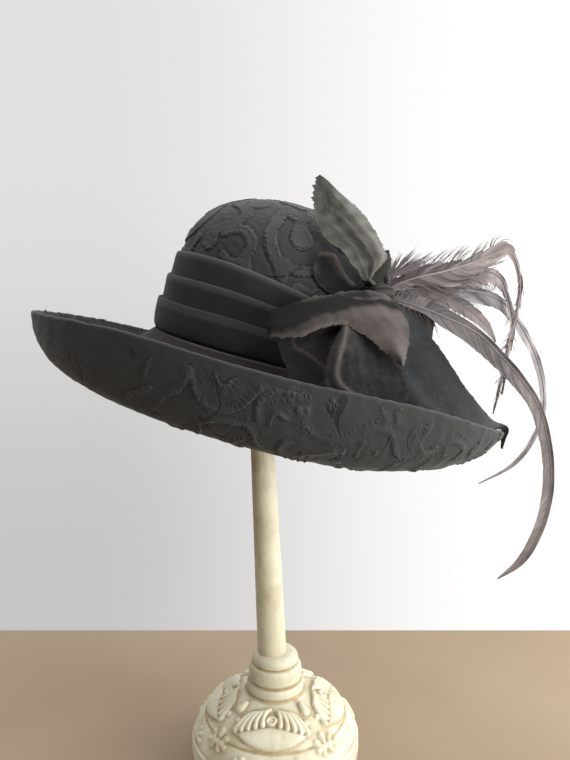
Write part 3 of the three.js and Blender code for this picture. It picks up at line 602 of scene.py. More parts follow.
brim = {
    "head": (102.4, 102.4, 85.4, -3.6),
    "gutter": (160, 159, 141),
    "rim": (200, 197.5, 174),
    "fall": {"shoulderRun": 0.36, "shoulderDrop": 0.42, "hollowRun": 0.6},
    "rise": {"floorRun": 0.5, "lipRun": 0.86, "lipRise": 0.36},
    "turns": [  # height of the rim and of the gutter, every 30 degrees from the back
        [-22, -42], [-26, -44], [-27, -47], [-26, -49], [-24, -49], [-19.5, -47], [-15.5, -46], [-8, -49],
        [0.5, -52], [-1.3, -54], [-1.5, -53], [-11.5, -46],
    ],
    "around": 680,
    "halfWall": 1.3,
    "lip": 0.36,  # how far the cover runs back over the rim onto the felt
    "plain": (214, 27),  # nearly plain at the front of the near side: angle and spread
    "scrolls": {"seed": 5, "tries": 1100, "step": 1.6, "halfWidth": (3.0, 4.8), "head": 0.4, "length": (26, 90),
                "bend": (0.04, 0.1), "gap": 4.0, "shortest": 18},
    "drawn": [  # as on the crown, by angle and s
        (3.4, 3.4, [[255.2, 1.91], [256.0, 1.83], [257.2, 1.73], [259.0, 1.68], [261.8, 1.68], [264.5, 1.73],
                    [266.2, 1.82], [267.2, 1.89], [268.5, 1.92]]),
        (2.6, 2.6, [[259.2, 1.91], [260.5, 1.85], [262.0, 1.85], [263.2, 1.92]]),
        (4.2, 4.2, [[255.8, 1.23], [256.5, 1.44], [258.5, 1.54], [261.5, 1.58], [264.8, 1.6], [267.5, 1.59],
                    [269.2, 1.51], [270.0, 1.37]]),
        (4.0, 4.0, [[269.5, 1.68], [269.0, 1.79], [270.2, 1.87], [272.5, 1.91], [275.2, 1.91], [277.0, 1.83],
                    [277.2, 1.74], [279.2, 1.66], [282.0, 1.61], [283.8, 1.62]]),
        (3.4, 3.4, [[270.8, 1.67], [271.2, 1.76], [272.8, 1.78], [274.5, 1.74]]),
        (4.0, 4.0, [[241.0, 1.47], [243.8, 1.55], [246.8, 1.65]]),
        (3.6, 3.6, [[246.5, 1.45], [248.8, 1.6], [250.5, 1.69], [252.5, 1.74], [253.5, 1.82], [253.5, 1.9]]),
        (3.0, 3.0, [[245.5, 1.72], [246.0, 1.82], [246.5, 1.89]]),
        (4.2, 4.2, [[275.8, 1.93], [276.8, 1.83], [278.0, 1.73], [280.5, 1.66], [283.0, 1.63], [285.5, 1.64],
                    [287.8, 1.7], [289.2, 1.77], [291.5, 1.82], [294.2, 1.83], [296.8, 1.78], [298.8, 1.66],
                    [301.0, 1.57]]),
        (3.6, 4.4, [[294.0, 1.56], [294.0, 1.54]]),
        (3.0, 3.0, [[290.2, 1.49], [290.0, 1.59], [290.2, 1.69]]),
        (3.4, 3.4, [[280.0, 1.34], [282.8, 1.39], [285.5, 1.48], [288.2, 1.52]]),
        (3.2, 3.2, [[300.0, 1.33], [300.8, 1.46], [302.5, 1.53]]),
        (4.0, 4.0, [[303.2, 1.93], [302.9, 1.85], [302.8, 1.75], [305.0, 1.64], [307.5, 1.64], [309.2, 1.72]]),
        (3.6, 3.6, [[312.8, 1.62], [311.0, 1.72], [311.8, 1.81], [314.8, 1.84], [318.5, 1.78], [319.5, 1.67],
                    [318.5, 1.57]]),
        (3.0, 3.0, [[325.0, 1.65], [323.2, 1.77], [324.5, 1.85]]),
        (3.2, 3.2, [[308.2, 1.35], [309.0, 1.48], [309.8, 1.58]]),
        (2.6, 2.6, [[291.0, 1.95], [292.0, 1.91], [293.2, 1.86]]),
        (2.6, 2.6, [[295.0, 1.95], [296.0, 1.89], [296.5, 1.84]]),
        (2.6, 2.6, [[281.5, 1.93], [282.0, 1.9], [282.0, 1.85]]),
    ],
    "relief": {"ribbon": 0.75, "ridge": 0.35, "groove": 0.5, "pucker": 0.5, "puckerLength": 4.4, "edgeWidth": 0.9,
               "ragged": 0.6, "across": 0.35, "ground": 0.22, "tuck": 1.0, "seed": 71},
}


def bezier(a, b, c, d, t):
    return a * (1 - t) ** 3 + 3 * b * t * (1 - t) ** 2 + 3 * c * t * t * (1 - t) + d * t ** 3


def brimMiddle(s, angle):  # the middle of the brim's wall: s is 0 at the crown, 1 in the gutter, 2 at the rim
    s, angle = np.broadcast_arrays(s[:, None], angle[None, :])
    turns = smoothRows(brim["turns"], angle / 360, wrap=True)
    rimZ, gutterZ = turns[..., 0], turns[..., 1]
    front, back, side, headZ = brim["head"]
    head = oval(front, back, side, angle, headZ)
    gutter = oval(*brim["gutter"], angle, gutterZ)
    rim = oval(*brim["rim"], angle, rimZ)

    def between(a, b, run, z):
        point = a + (b - a) * run
        point[..., 2] = z
        return point

    fall, rise = brim["fall"], brim["rise"]
    shoulder = between(head, gutter, fall["shoulderRun"], headZ + (gutterZ - headZ) * fall["shoulderDrop"])
    hollow = between(head, gutter, fall["hollowRun"], gutterZ)
    floor = between(gutter, rim, rise["floorRun"], gutterZ)
    lip = between(gutter, rim, rise["lipRun"], gutterZ + (rimZ - gutterZ) * rise["lipRise"])
    t = s[..., None]
    return np.where(t <= 1, bezier(head, shoulder, hollow, gutter, np.clip(t, 0, 1)),
                    bezier(gutter, floor, lip, rim, np.clip(t - 1, 0, 1)))


def brimFrame(s, angle):  # the middle surface and the directions up from it and outwards along it
    middle = brimMiddle(s, angle)
    out = unit(brimMiddle(np.minimum(s + 0.01, 2), angle) - brimMiddle(np.maximum(s - 0.01, 0), angle))
    around = brimMiddle(s, angle + 0.5) - brimMiddle(s, angle - 0.5)
    return middle, unit(np.cross(out, around)), out


def brimSkin(under, lip, angle, below, above):  # a skin under the brim, over the rim and back onto it
    middle, up, _ = brimFrame(under, angle)
    rows = [middle - up * below]
    middle, up, out = brimFrame(np.array([2.0]), angle)
    for turn in np.radians(np.linspace(0, 180, 9)[1:-1]):
        reach = below + (above - below) * (1 - math.cos(turn)) / 2
        rows.append(middle + (out * math.sin(turn) - up * math.cos(turn)) * reach)
    share = np.linspace(0, 1, lip)[:, None]
    edge = brim["lip"] * (1 + 0.12 * waves(21, 9, 9, 60)(angle))
    for row in share:
        middle, up, _ = brimFrameAt(2 - row * edge, angle)
        rows.append((middle + up * above)[None])
    return np.concatenate(rows)


def brimFrameAt(s, angle):  # as brimFrame, with an s of its own for each angle
    def at(sOne, angles):
        levels = np.linspace(1.4, 2, 61)
        grid = brimMiddle(levels, angles)
        place = np.clip((sOne - 1.4) / 0.01, 0, 59.999)
        i = place.astype(int)
        t = (place - i)[:, None]
        column = np.arange(len(angles))
        return grid[i, column] * (1 - t) + grid[i + 1, column] * t
    middle = at(s, angle)
    out = unit(at(np.minimum(s + 0.01, 2), angle) - at(s - 0.01, angle))
    around = at(s, angle + 0.5) - at(s, angle - 0.5)
    return middle, unit(np.cross(out, around)), out


def brimPlaces(places):  # points under the brim from pairs of angle and s
    grid = np.array(places, float)
    points = []
    for angle, s in grid:
        middle, up, _ = brimFrame(np.array([s]), np.array([angle]))
        points.append((middle - up * brim["halfWall"])[0, 0])
    return np.array(points)


def buildBrim():
    angle = np.linspace(0, 360, brim["around"], endpoint=False)
    under = np.linspace(0, 2, 92)
    half = brim["halfWall"]
    outer = brimSkin(under, 14, angle, half, half + 0.9)
    inner = brimSkin(under[::6], 6, angle, half - 0.8, half + 0.1)
    normals = gridNormals(outer)
    if normals[0, :, 2].mean() > 0:
        normals = -normals
    surface = outer.reshape(-1, 3)
    allowed = np.zeros(outer.shape[:2], bool)
    allowed[16:-16] = True
    plainAngle, spread = brim["plain"]
    allowed[:, awayFrom(angle, plainAngle) < spread] = False
    drawn = [(narrow, head, brimPlaces(places)) for narrow, head, places in brim["drawn"]]
    rows = growScrolls(surface, normals.reshape(-1, 3), allowed.ravel(), brim["scrolls"], drawn)
    lift, shades = mouldRelief(surface, normals.reshape(-1, 3), rows, brim["relief"])
    share = np.ones(outer.shape[:2])
    share[:10] = np.linspace(0, 1, 10)[:, None]
    share[-4:] = np.linspace(0.8, 0, 4)[:, None]
    lift = lift.reshape(share.shape) * share
    outer = outer + normals * lift[:, :, None]
    rings = np.concatenate([outer, inner[::-1]])
    zero = np.zeros(inner.shape[0] * inner.shape[1])
    shades = {name: np.concatenate([values, zero - 9]) for name, values in shades.items()}
    cover = makePiece("brim_cover", loft(onStand(rings), loop=True), reliefCloth, ["brim"], shades)
    s = np.linspace(0, 2, 60)
    middle, up, _ = brimFrame(s, angle[::4])
    wave = 0.35 * ripples(31, 6, 16, 40)(middle) * ramp(s, 0.1, 0.6)[:, None]
    top = middle + up * (half + wave[:, :, None] * ramp(2 - s, 0.35, 0.6)[:, None, None])
    low = middle[::-3] + up[::-3] * 0.1
    body = loft(onStand(np.concatenate([top, low])), loop=True)
    base = makePiece("brim_felt", body, felt, ["brim"])
    area = gridArea(brimMiddle(np.linspace(0, 2, 50), angle[::4]))


# Band

band = {
    "bottom": -1.4,
    "high": 65,
    "gather": (310, 31, 0.28),  # angle, spread and share that it is drawn together by
    "thick": 0.6,
    "around": 300,
    "section": [  # how far the cloth's middle stands off the crown, and its height as a share of the band's
        [0.9, 0.10], [1.1, 0.015], [2.6, 0.005], [4.4, 0.05], [5.6, 0.14], [6.2, 0.26], [6.3, 0.355], [5.75, 0.388],
        [5.1, 0.37], [4.7, 0.30], [4.1, 0.245], [3.3, 0.27], [3.1, 0.38], [3.6, 0.5], [4.3, 0.61], [4.5, 0.665],
        [4.0, 0.692], [3.3, 0.672], [2.9, 0.60], [2.3, 0.555], [1.7, 0.59], [2.0, 0.72], [2.6, 0.84], [3.1, 0.93],
        [3.0, 0.985], [2.3, 0.998], [1.6, 0.975], [1.1, 0.90],
    ],
}


def buildBand():
    angle = np.linspace(0, 360, band["around"], endpoint=False)
    gatherAngle, spread, drawn = band["gather"]
    away = awayFrom(angle, gatherAngle)
    share = 1 - drawn * np.exp(-((away / spread) ** 2) / 2)
    u = evenRows(np.array(band["section"]) * [1, band["high"]], [0, 1], 1.6)
    line = smoothRows(band["section"], u) * [1, band["high"]]
    across = unit(np.gradient(line, axis=0))
    sideways = np.stack([across[:, 1], -across[:, 0]], -1)
    level = np.linspace(0, 1, len(line))[:, None]
    sag = 0.5 * waves(41, 7, 2, 9)(angle) * np.sin(math.pi * level) + 0.8 * waves(43, 6, 2, 7)(angle + 40 * level)
    stand = 0.35 * waves(47, 9, 3, 16)(angle + 25 * level)
    rings = []
    for skin in (0.5, -0.5):
        corner = line + sideways * skin * band["thick"]
        z = band["bottom"] + np.clip(corner[:, 1:] * share + sag * ramp(corner[:, 1:], 2, 20), 0, None)
        off = corner[:, :1] + stand * ramp(corner[:, :1], 1.5, 3)
        levels = np.array(crown["levels"])
        front, back, side = (np.interp(z, levels[:, 0], levels[:, k]) + off for k in (1, 2, 3))
        rings.append(oval(front, back, side, angle[None, :], z))
    rings = np.concatenate([rings[0], rings[1][::-1]])
    # where the pleats' crests lie, for the painted highlight on them
    folds = (hump(level, 0.245, 0.025) + hump(level, 0.59, 0.022) + hump(level, 0.93, 0.03)) * np.ones_like(angle)
    made = makePiece("band_folds", loft(onStand(rings), loop=True), crepe, ["hat_band"],
                     {"edge": np.concatenate([folds, folds[::-1]])})
    cut = float(np.linalg.norm(np.diff(line, axis=0), axis=1).sum() * 0.001)


# Blades: the leaves' and feathers' surfaces, from the knot at u 0 to the tip at u 1

def bladeFrame(rows, face, u):  # a row: a place, the reach to either side, and how far the sides cup forward
    rows = np.array(rows, float)
    row = smoothRows(rows, u)
    ahead, behind = (smoothRows(rows, np.clip(u + step, 0, 1))[..., :3] for step in (0.01, -0.01))
    along = unit(ahead - behind)
    facing = np.array(face, float)
    normal = unit(facing - (along @ facing)[..., None] * along)
    return row, row[..., :3], normal, np.cross(along, normal)


leafShape = {"along": 120, "across": 44, "thick": 0.8, "stem": 1.5}

# Edges: rows from one end of a leaf to the other, each a point of its upper or left edge and one of its other edge.
# Bulge and crest: how far it stands forward, and where across it. Teeth: edge, count, depth, first and last u.
# Streaks: waves across, waves along, their curve and height. Folds: height, width, lightness, and points (u, v); a
# fold's lightness is mostly painted light, a painted highlight on a raised fold and painted shade in a sunk one.
leaves = {
    "leaf_back": {
        "node": ["leaf_back"], "seed": 137, "colours": ((28, 28, 28), (56, 54, 54)),
        "bulge": 1.5, "crest": 0.5, "stem": (0.05, 0.5), "fray": 0.4, "streaks": (1.5, 3, 0.4, 0.15),
        "base": 0.5, "contrast": 0.06,
        "face": [0.1, -1, 0.2],
        "rows": [
            [71, -66, 66, 2.5, 2.5, 0], [83, -61, 57, 8, 8, 0], [93, -54, 53, 14, 14, 1],
            [103, -48, 49, 16, 16, 2], [112, -42, 45, 11, 11, 1], [117, -39, 43, 0.6, 0.6, 0],
        ],
    },
    "leaf_right": {
        "node": ["leaf_right"], "seed": 131, "colours": ((18, 20, 23), (58, 61, 63)),
        "bulge": 5, "crest": 0.62, "stem": (0.02, 0.5), "fray": 0.3, "streaks": (2, 12, 0.5, 0.14),
        "base": 0.26, "contrast": 0.1, "mottle": 0.05,
        "face": [0.3, -1, 0.5],
        "folds": [(0.5, 5.0, 0.25, [[0.15, 0.75], [0.4, 0.72], [0.7, 0.6]]),
                  (0.0, 7.0, 0.8, [[0.95, 0.5], [1, 0.5]])],
        "rows": [
            [70, -69, 65, 2.5, 2.5, 0], [82, -74, 56, 6, 8, 0], [100, -74, 40, 10, 38, 2],
            [117, -78, 25, 10, 50, 4], [136, -77, 8, 9, 42, 5], [156, -66, -5, 9, 22, 4],
            [177, -46, -12, 6, 7, 2], [190, -31, -12.5, 3, 3, 0], [199.5, -21, -15.5, 2.5, 2.5, 0],
            [204, -16, -32, 0.6, 0.6, 0],
        ],
    },
    "leaf_shaded": {
        "node": ["leaf_shaded"], "seed": 103, "colours": ((17, 17, 18), (78, 74, 71)),
        "bulge": -1.6, "crest": 0.5, "stem": (0.0, 0.5), "fray": 0.3, "streaks": (2, 2, 0.2, 0.1),
        "base": 0.3, "contrast": 0.05,
        "folds": [
            (0.8, 2.2, 0.75, [[0.3, 0.05], [0.55, 0.04], [0.8, 0.05], [0.97, 0.3]]),
            (-0.6, 5.0, -0.4, [[0.78, 0.5], [0.57, 0.5], [0.39, 0.5], [0.2, 0.6]]),
        ],
        "edges": [
            [63.7, -68.7, 68.8, 62.8, -71.3, 64.8], [52.7, -71.3, 67.7, 51.1, -73.4, 61.2],
            [42.4, -73.6, 70.5, 38.3, -76.0, 58.8], [35.7, -75.3, 74.3, 28.2, -78.3, 58.6],
            [29.1, -76.7, 80.8, 19.8, -79.5, 61.1], [24.0, -78.1, 86.6, 13.0, -79.7, 66.9],
            [18.3, -78.9, 87.8, 10.1, -79.5, 75.2], [12.5, -79.5, 86.7, 11.4, -79.4, 85.3],
        ],
    },
    "leaf_behind": {  # a dark scrap behind the foot of the upright leaf
        "node": [], "seed": 139, "colours": ((26, 28, 24), (60, 60, 52)),
        "bulge": 1.5, "crest": 0.5, "stem": (0.05, 0.5), "fray": 0.3, "streaks": (2, 2, 0.3, 0.1),
        "base": 0.3, "contrast": 0.06,
        "edges": [
            [48, -72, 72, 62, -70, 72], [49, -73, 78, 65, -70, 79], [51, -73, 86, 66, -70, 88],
            [55, -72, 94, 64.5, -70, 95.5], [60, -71, 100, 62, -70, 100.5],
        ],
    },
    "leaf_upright": {
        "node": ["leaf_upright"], "seed": 101, "colours": ((62, 62, 59), (112, 111, 106)),
        "bulge": 4.5, "crest": 0.72, "stem": (0.03, 0.6), "fray": 0.4, "streaks": (2.5, 1.5, 0.5, 0.14),
        "base": 0.4, "contrast": 0.055,
        "teeth": (0, 7, 3.4, 0.64, 0.98),
        "folds": [
            (0.35, 1.6, 0.22, [[0.03, 0.97], [0.14, 0.84], [0.24, 0.85], [0.38, 0.84], [0.48, 0.78], [0.6, 0.72],
                             [0.72, 0.66], [0.82, 0.56], [0.94, 0.36]]),
            (0.2, 3.5, 0.2, [[0.24, 0.94], [0.38, 0.93], [0.5, 0.88], [0.65, 0.84]]),
            (0.3, 1.1, 0.22, [[0.03, 0.41], [0.16, 0.28], [0.32, 0.31], [0.45, 0.34], [0.54, 0.28]]),
            (0.3, 1.1, 0.22, [[0.06, 0.71], [0.21, 0.59], [0.36, 0.59], [0.48, 0.59], [0.58, 0.51], [0.67, 0.39]]),
            (-0.3, 2.0, -0.16, [[0.05, 0.55], [0.22, 0.45], [0.43, 0.46], [0.6, 0.42], [0.8, 0.4]]),
            (0.0, 8.0, -0.12, [[0.62, 0.1], [0.8, 0.2], [0.97, 0.4]]),
        ],
        "edges": [
            [48.5, -80.9, 73.5, 52.0, -79.8, 75.1], [41.9, -82.1, 79.3, 56.3, -80.0, 84.8],
            [35.4, -82.0, 83.7, 60.7, -80.2, 93.8], [30.0, -80.7, 89.1, 57.7, -79.9, 98.3],
            [24.5, -78.5, 92.5, 54.7, -78.9, 102.8], [16.5, -76.0, 95.3, 50.1, -76.7, 108.5],
            [9.8, -73.2, 100.6, 43.9, -73.6, 114.7], [4.8, -69.9, 107.0, 37.4, -69.9, 120.5],
            [1.5, -66.5, 114.6, 30.4, -65.9, 125.5], [-1.4, -62.9, 122.4, 22.7, -61.6, 130.1],
            [-2.8, -59.2, 130.3, 15.0, -57.5, 134.3], [-2.9, -55.1, 137.4, 6.6, -54.0, 138.8],
            [-2.7, -50.7, 142.2, -0.2, -51.0, 143.2],
        ],
    },
    "leaf_dark": {
        "node": ["leaf_dark"], "seed": 127, "colours": ((6, 8, 9), (54, 48, 46)),
        "bulge": -3, "crest": 0.5, "stem": (0.03, 0.5), "fray": 0.4, "streaks": (4, 0.6, 0.3, 0.16),
        "base": 0.16, "contrast": 0.05, "mottle": 0.05,
        "folds": [
            (0.6, 1.6, 0.4, [[0.36, 0.08], [0.41, 0.29], [0.41, 0.51], [0.43, 0.72], [0.48, 0.94]]),
            (0.3, 9.0, 0.2, [[0.05, 0.4], [0.2, 0.4], [0.32, 0.45]]),
            (-0.8, 5.0, -0.5, [[0.56, 0.1], [0.56, 0.4], [0.6, 0.64], [0.66, 0.88]]),
        ],
        "edges": [
            [36.5, -96.7, 38.0, 40.1, -94.3, 36.6], [27.6, -98.8, 34.5, 38.9, -100.5, 27.8],
            [17.0, -101.6, 29.1, 37.3, -106.2, 20.5], [5.8, -105.1, 23.6, 36.2, -111.2, 14.8],
            [-2.1, -108.9, 16.8, 35.1, -115.7, 9.2], [1.6, -113.2, 7.9, 33.9, -120.1, 4.3],
            [7.7, -118.2, 0.2, 32.4, -124.0, -2.0], [11.8, -122.9, -9.4, 29.9, -126.8, -9.4],
            [15.5, -126.7, -14.4, 27.1, -128.5, -15.6], [21.7, -129.5, -19.6, 24.0, -129.7, -20.5],
        ],
    },
    "leaf_low": {
        "node": ["leaf_low"], "seed": 113, "colours": ((12, 15, 15), (84, 79, 75)),
        "bulge": 4, "crest": 0.2, "stem": (0.03, 0.5), "fray": 0.4, "streaks": (5, 1.2, 0.5, 0.16),
        "base": 0.18, "contrast": 0.045, "mottle": 0.05,
        "folds": [
            (1.5, 2.3, 0.5, [[0.05, 0.3], [0.26, 0.2], [0.37, 0.17], [0.56, 0.17], [0.63, 0.18],
                             [0.84, 0.2], [1, 0.2]]),
            (-0.8, 2.4, 0.15, [[0.1, 0.05], [0.4, 0.04], [0.7, 0.05], [1, 0.08]]),
            (0.2, 9.0, 0.14, [[0.06, 0.6], [0.18, 0.5], [0.3, 0.5]]),
        ],
        "edges": [
            [40.1, -100.0, 37.6, 46.3, -100.5, 39.2], [36.3, -106.7, 29.8, 56.8, -102.5, 37.5],
            [33.8, -112.9, 20.9, 68.6, -106.0, 30.4], [33.0, -118.5, 11.1, 77.4, -111.3, 24.7],
            [33.0, -123.4, 0.2, 83.8, -117.2, 20.4], [37.7, -127.5, -6.7, 87.7, -122.8, 15.8],
            [46.0, -130.6, -9.9, 92.5, -127.3, 7.1], [55.0, -132.5, -12.3, 91.7, -130.7, -0.0],
            [63.9, -133.6, -14.2, 86.5, -133.1, -8.7],
        ],
    },
    "leaf_folded": {  # it crosses over the knot, with a tip to either side
        "node": ["leaf_left", "leaf_brown"], "seed": 107, "colours": ((17, 17, 17), (88, 81, 78)),
        "bulge": 4.5, "crest": 0.6, "stem": (0.52, 0.3), "fray": 0.6, "streaks": (1, 5, 0.15, 0.07),
        "base": 0.75, "contrast": 0.04,
        "folds": [
            (-1.5, 5.4, -0.72, [[0.1, 0.42], [0.17, 0.42], [0.25, 0.4], [0.33, 0.4], [0.43, 0.44], [0.52, 0.4],
                                [0.58, 0.24], [0.63, 0.1]]),
            (0.0, 13.0, -0.34, [[0.0, 0.6], [0.12, 0.65], [0.22, 0.7]]),
            (-0.2, 5.5, -0.5, [[0.03, 0.2], [0.1, 0.15], [0.2, 0.12], [0.3, 0.14], [0.42, 0.16], [0.5, 0.14]]),
            (0.9, 1.5, 0.5, [[0.47, 0.25], [0.53, 0.27], [0.57, 0.16], [0.6, 0.07]]),
            (0.5, 1.6, 0.25, [[0.08, 0.96], [0.2, 0.97], [0.3, 0.97], [0.42, 0.97], [0.5, 0.98]]),
        ],
        "edges": [
            [-13.9, -109.1, 28.4, -12.0, -109.9, 22.7], [-13.1, -108.9, 36.1, -9.5, -110.1, 18.7],
            [-8.7, -108.2, 40.2, -5.2, -110.5, 19.5], [1.3, -107.3, 45.7, 3.5, -110.6, 21.3],
            [9.3, -105.7, 50.7, 10.7, -110.0, 23.4], [16.2, -103.3, 54.3, 17.3, -108.8, 27.6],
            [25.6, -100.2, 57.7, 24.5, -107.2, 33.1], [32.8, -95.8, 61.4, 31.5, -105.4, 36.3],
            [44.2, -89.8, 65.3, 37.2, -104.3, 38.8], [56.1, -84.3, 67.9, 43.2, -104.6, 39.2],
            [67.5, -82.9, 67.9, 49.5, -107.1, 37.8], [74.9, -86.9, 61.9, 55.7, -110.9, 35.8],
            [80.6, -94.5, 56.5, 61.2, -114.4, 33.6], [84.8, -103.1, 50.2, 65.6, -116.9, 30.3],
            [85.4, -111.1, 43.9, 69.5, -118.9, 28.5], [86.1, -117.3, 34.6, 73.6, -120.8, 26.6],
            [85.7, -121.4, 25.9, 81.0, -122.6, 23.3], [84.3, -124.6, 22.2, 83.6, -124.4, 22.1],
        ],
    },
}


def leafEdges(leaf):  # a leaf's two edges, as given or worked out from the rows along its middle
    if "edges" in leaf:
        return np.array(leaf["edges"], float)
    row, spine, normal, across = bladeFrame(leaf["rows"], leaf["face"], np.linspace(0, 1, 24))
    reach = np.maximum(row[:, 3:5], 0.5) * [-1, 1]
    return np.concatenate([spine + across * reach[:, k:k + 1] + normal * row[:, 5:] for k in (0, 1)], axis=1)


def offLine(points, line):  # how far each point is from a line through some points
    nearest = np.full(points.shape[:-1], 1e9)
    for a, b in zip(line[:-1], line[1:]):
        step = b - a
        t = np.clip(((points - a) @ step) / max(step @ step, 1e-9), 0, 1)
        nearest = np.minimum(nearest, np.linalg.norm(points - a - t[..., None] * step, axis=-1))
    return nearest


def buildLeaf(name, leaf):
    u = np.linspace(0, 1, leafShape["along"])[:, None] * np.ones((1, leafShape["across"]))
    v = np.linspace(0, 1, leafShape["across"])[None, :] * np.ones((leafShape["along"], 1))
    edges = leafEdges(leaf)
    both = smoothRows(edges, u)
    flat = both[..., :3] * (1 - v[..., None]) + both[..., 3:] * v[..., None]
    normal = gridNormals(flat, wrap=False)
    normal = normal * np.sign((normal * [0, -1, 0.2]).sum(-1, keepdims=True))
    normal = unit(np.stack([softened(normal[..., k], 6, wrap=False) for k in range(3)], -1))
    draw = np.random.default_rng(leaf["seed"])
    phase = draw.uniform(0, 2 * math.pi, 9)
    across = unit(both[..., 3:] - both[..., :3])
    fringe = ramp(np.abs(2 * v - 1), 0.7, 1.0)
    wander = sum(np.sin(2 * math.pi * u * n + p + 2 * (v > 0.5)) for n, p in zip((9, 17, 31, 47), phase)) / 2
    shift = leaf["fray"] * wander * np.sign(v - 0.5)
    if "teeth" in leaf:
        edge, count, depth, first, last = leaf["teeth"]
        share = (u - first) / (last - first)
        saw = (share * count) % 1
        on = (share > 0) & (share < 1) & ((v > 0.5) == bool(edge))
        shift = shift + on * depth * (saw - 0.3) * (0.6 + 0.4 * np.sin(share * 21 + phase[5])) * (1 if edge else -1)
    warped = v ** (math.log(0.5) / math.log(leaf["crest"]))
    ends = ramp(u, 0, 0.12) * ramp(1 - u, 0, 0.12)
    lift = leaf["bulge"] * np.sin(math.pi * warped) * (0.35 + 0.65 * ends)
    lift += 0.6 * np.sin(2 * math.pi * 2.3 * u + phase[6]) * (2 * v - 1) ** 2 * ends
    waveAcross, waveAlong, curve, height = leaf["streaks"]
    drift = ripples(leaf["seed"] + 1, 6, 10, 30)(flat)
    turnsHere = 2 * math.pi * (waveAcross * v + waveAlong * (u + curve * v * v))
    streak = 0.4 * np.sin(turnsHere + 1.6 * drift) + 0.5 * np.sin(2.3 * turnsHere + 2.2 * drift + phase[7])
    streak += 0.5 * np.sin(4.1 * turnsHere + 2.6 * drift + phase[8])
    streak *= 0.4 + 0.6 * ramp(ripples(leaf["seed"] + 3, 6, 10, 26)(flat), -0.6, 0.8)
    lift += height * streak * (1 - 0.5 * fringe)
    mottle = leaf.get("mottle", 0.12) * ripples(leaf["seed"] + 2, 7, 8, 30)(flat)
    # lighter on the streaks' raised ridges and darker between them: partly the pile's own streaks, partly a painted
    # sheen on the ridges
    light = leaf["base"] + leaf["contrast"] * streak + mottle
    # each fold lifts or sinks the leaf and adds its lightness: painted highlight on a raised fold, painted shade in a
    # sunk one
    for rise, width, shade, line in leaf.get("folds", []):
        spots = smoothRows(line, np.linspace(0, 1, 6 * len(line)))
        here = smoothRows(edges, spots[:, 0])
        path = here[:, :3] * (1 - spots[:, 1:]) + here[:, 3:] * spots[:, 1:]
        near = np.exp(-(offLine(flat, path) / width) ** 2)
        lift += rise * near
        light += shade * near
    # lighter along both edges: the frayed edge's paler tone with a painted sheen on it
    light += 0.16 * ramp(np.abs(2 * v - 1), 0.93, 1.0)
    flat = flat + across * (shift * fringe)[..., None]
    thick = leafShape["thick"] / 2
    front, back = (flat + normal * (lift + skin)[..., None] for skin in (thick, -thick))
    stemU, stemV = leaf["stem"]
    root = back[int(stemU * (leafShape["along"] - 1)), int(stemV * (leafShape["across"] - 1))]
    start = np.array(knot["at"], float)
    t = np.linspace(0, 1, 12)[:, None]
    dip = np.array([0, 2.0, 0]) * np.sin(math.pi * t)
    stem = tubeAlong(start + (root - start) * t + dip, np.full(12, leafShape["stem"]), 8)
    points, groups = joined([shell(front, back), stem])
    light = np.clip(np.concatenate([light.ravel(), light.ravel(), np.full(len(stem[0]), 0.2)]), 0, 1)
    made = makePiece(name + "_velvet", (onStand(points), groups), velvetFinish(name + "_velvet", leaf["colours"]),
                     leaf["node"], {"light": light}, thin=True)
    middle = (edges[:, :3] + edges[:, 3:]) / 2
    steps = np.linalg.norm(np.diff(middle, axis=0), axis=1)
    breadth = np.linalg.norm(edges[:, 3:] - edges[:, :3], axis=1)
    area = float((steps * (breadth[1:] + breadth[:-1]) / 2).sum() * 1e-6)
    size = (round(float(breadth.max()) * 0.001 + 0.004, 3), round(float(steps.sum()) * 0.001 + 0.004, 3))
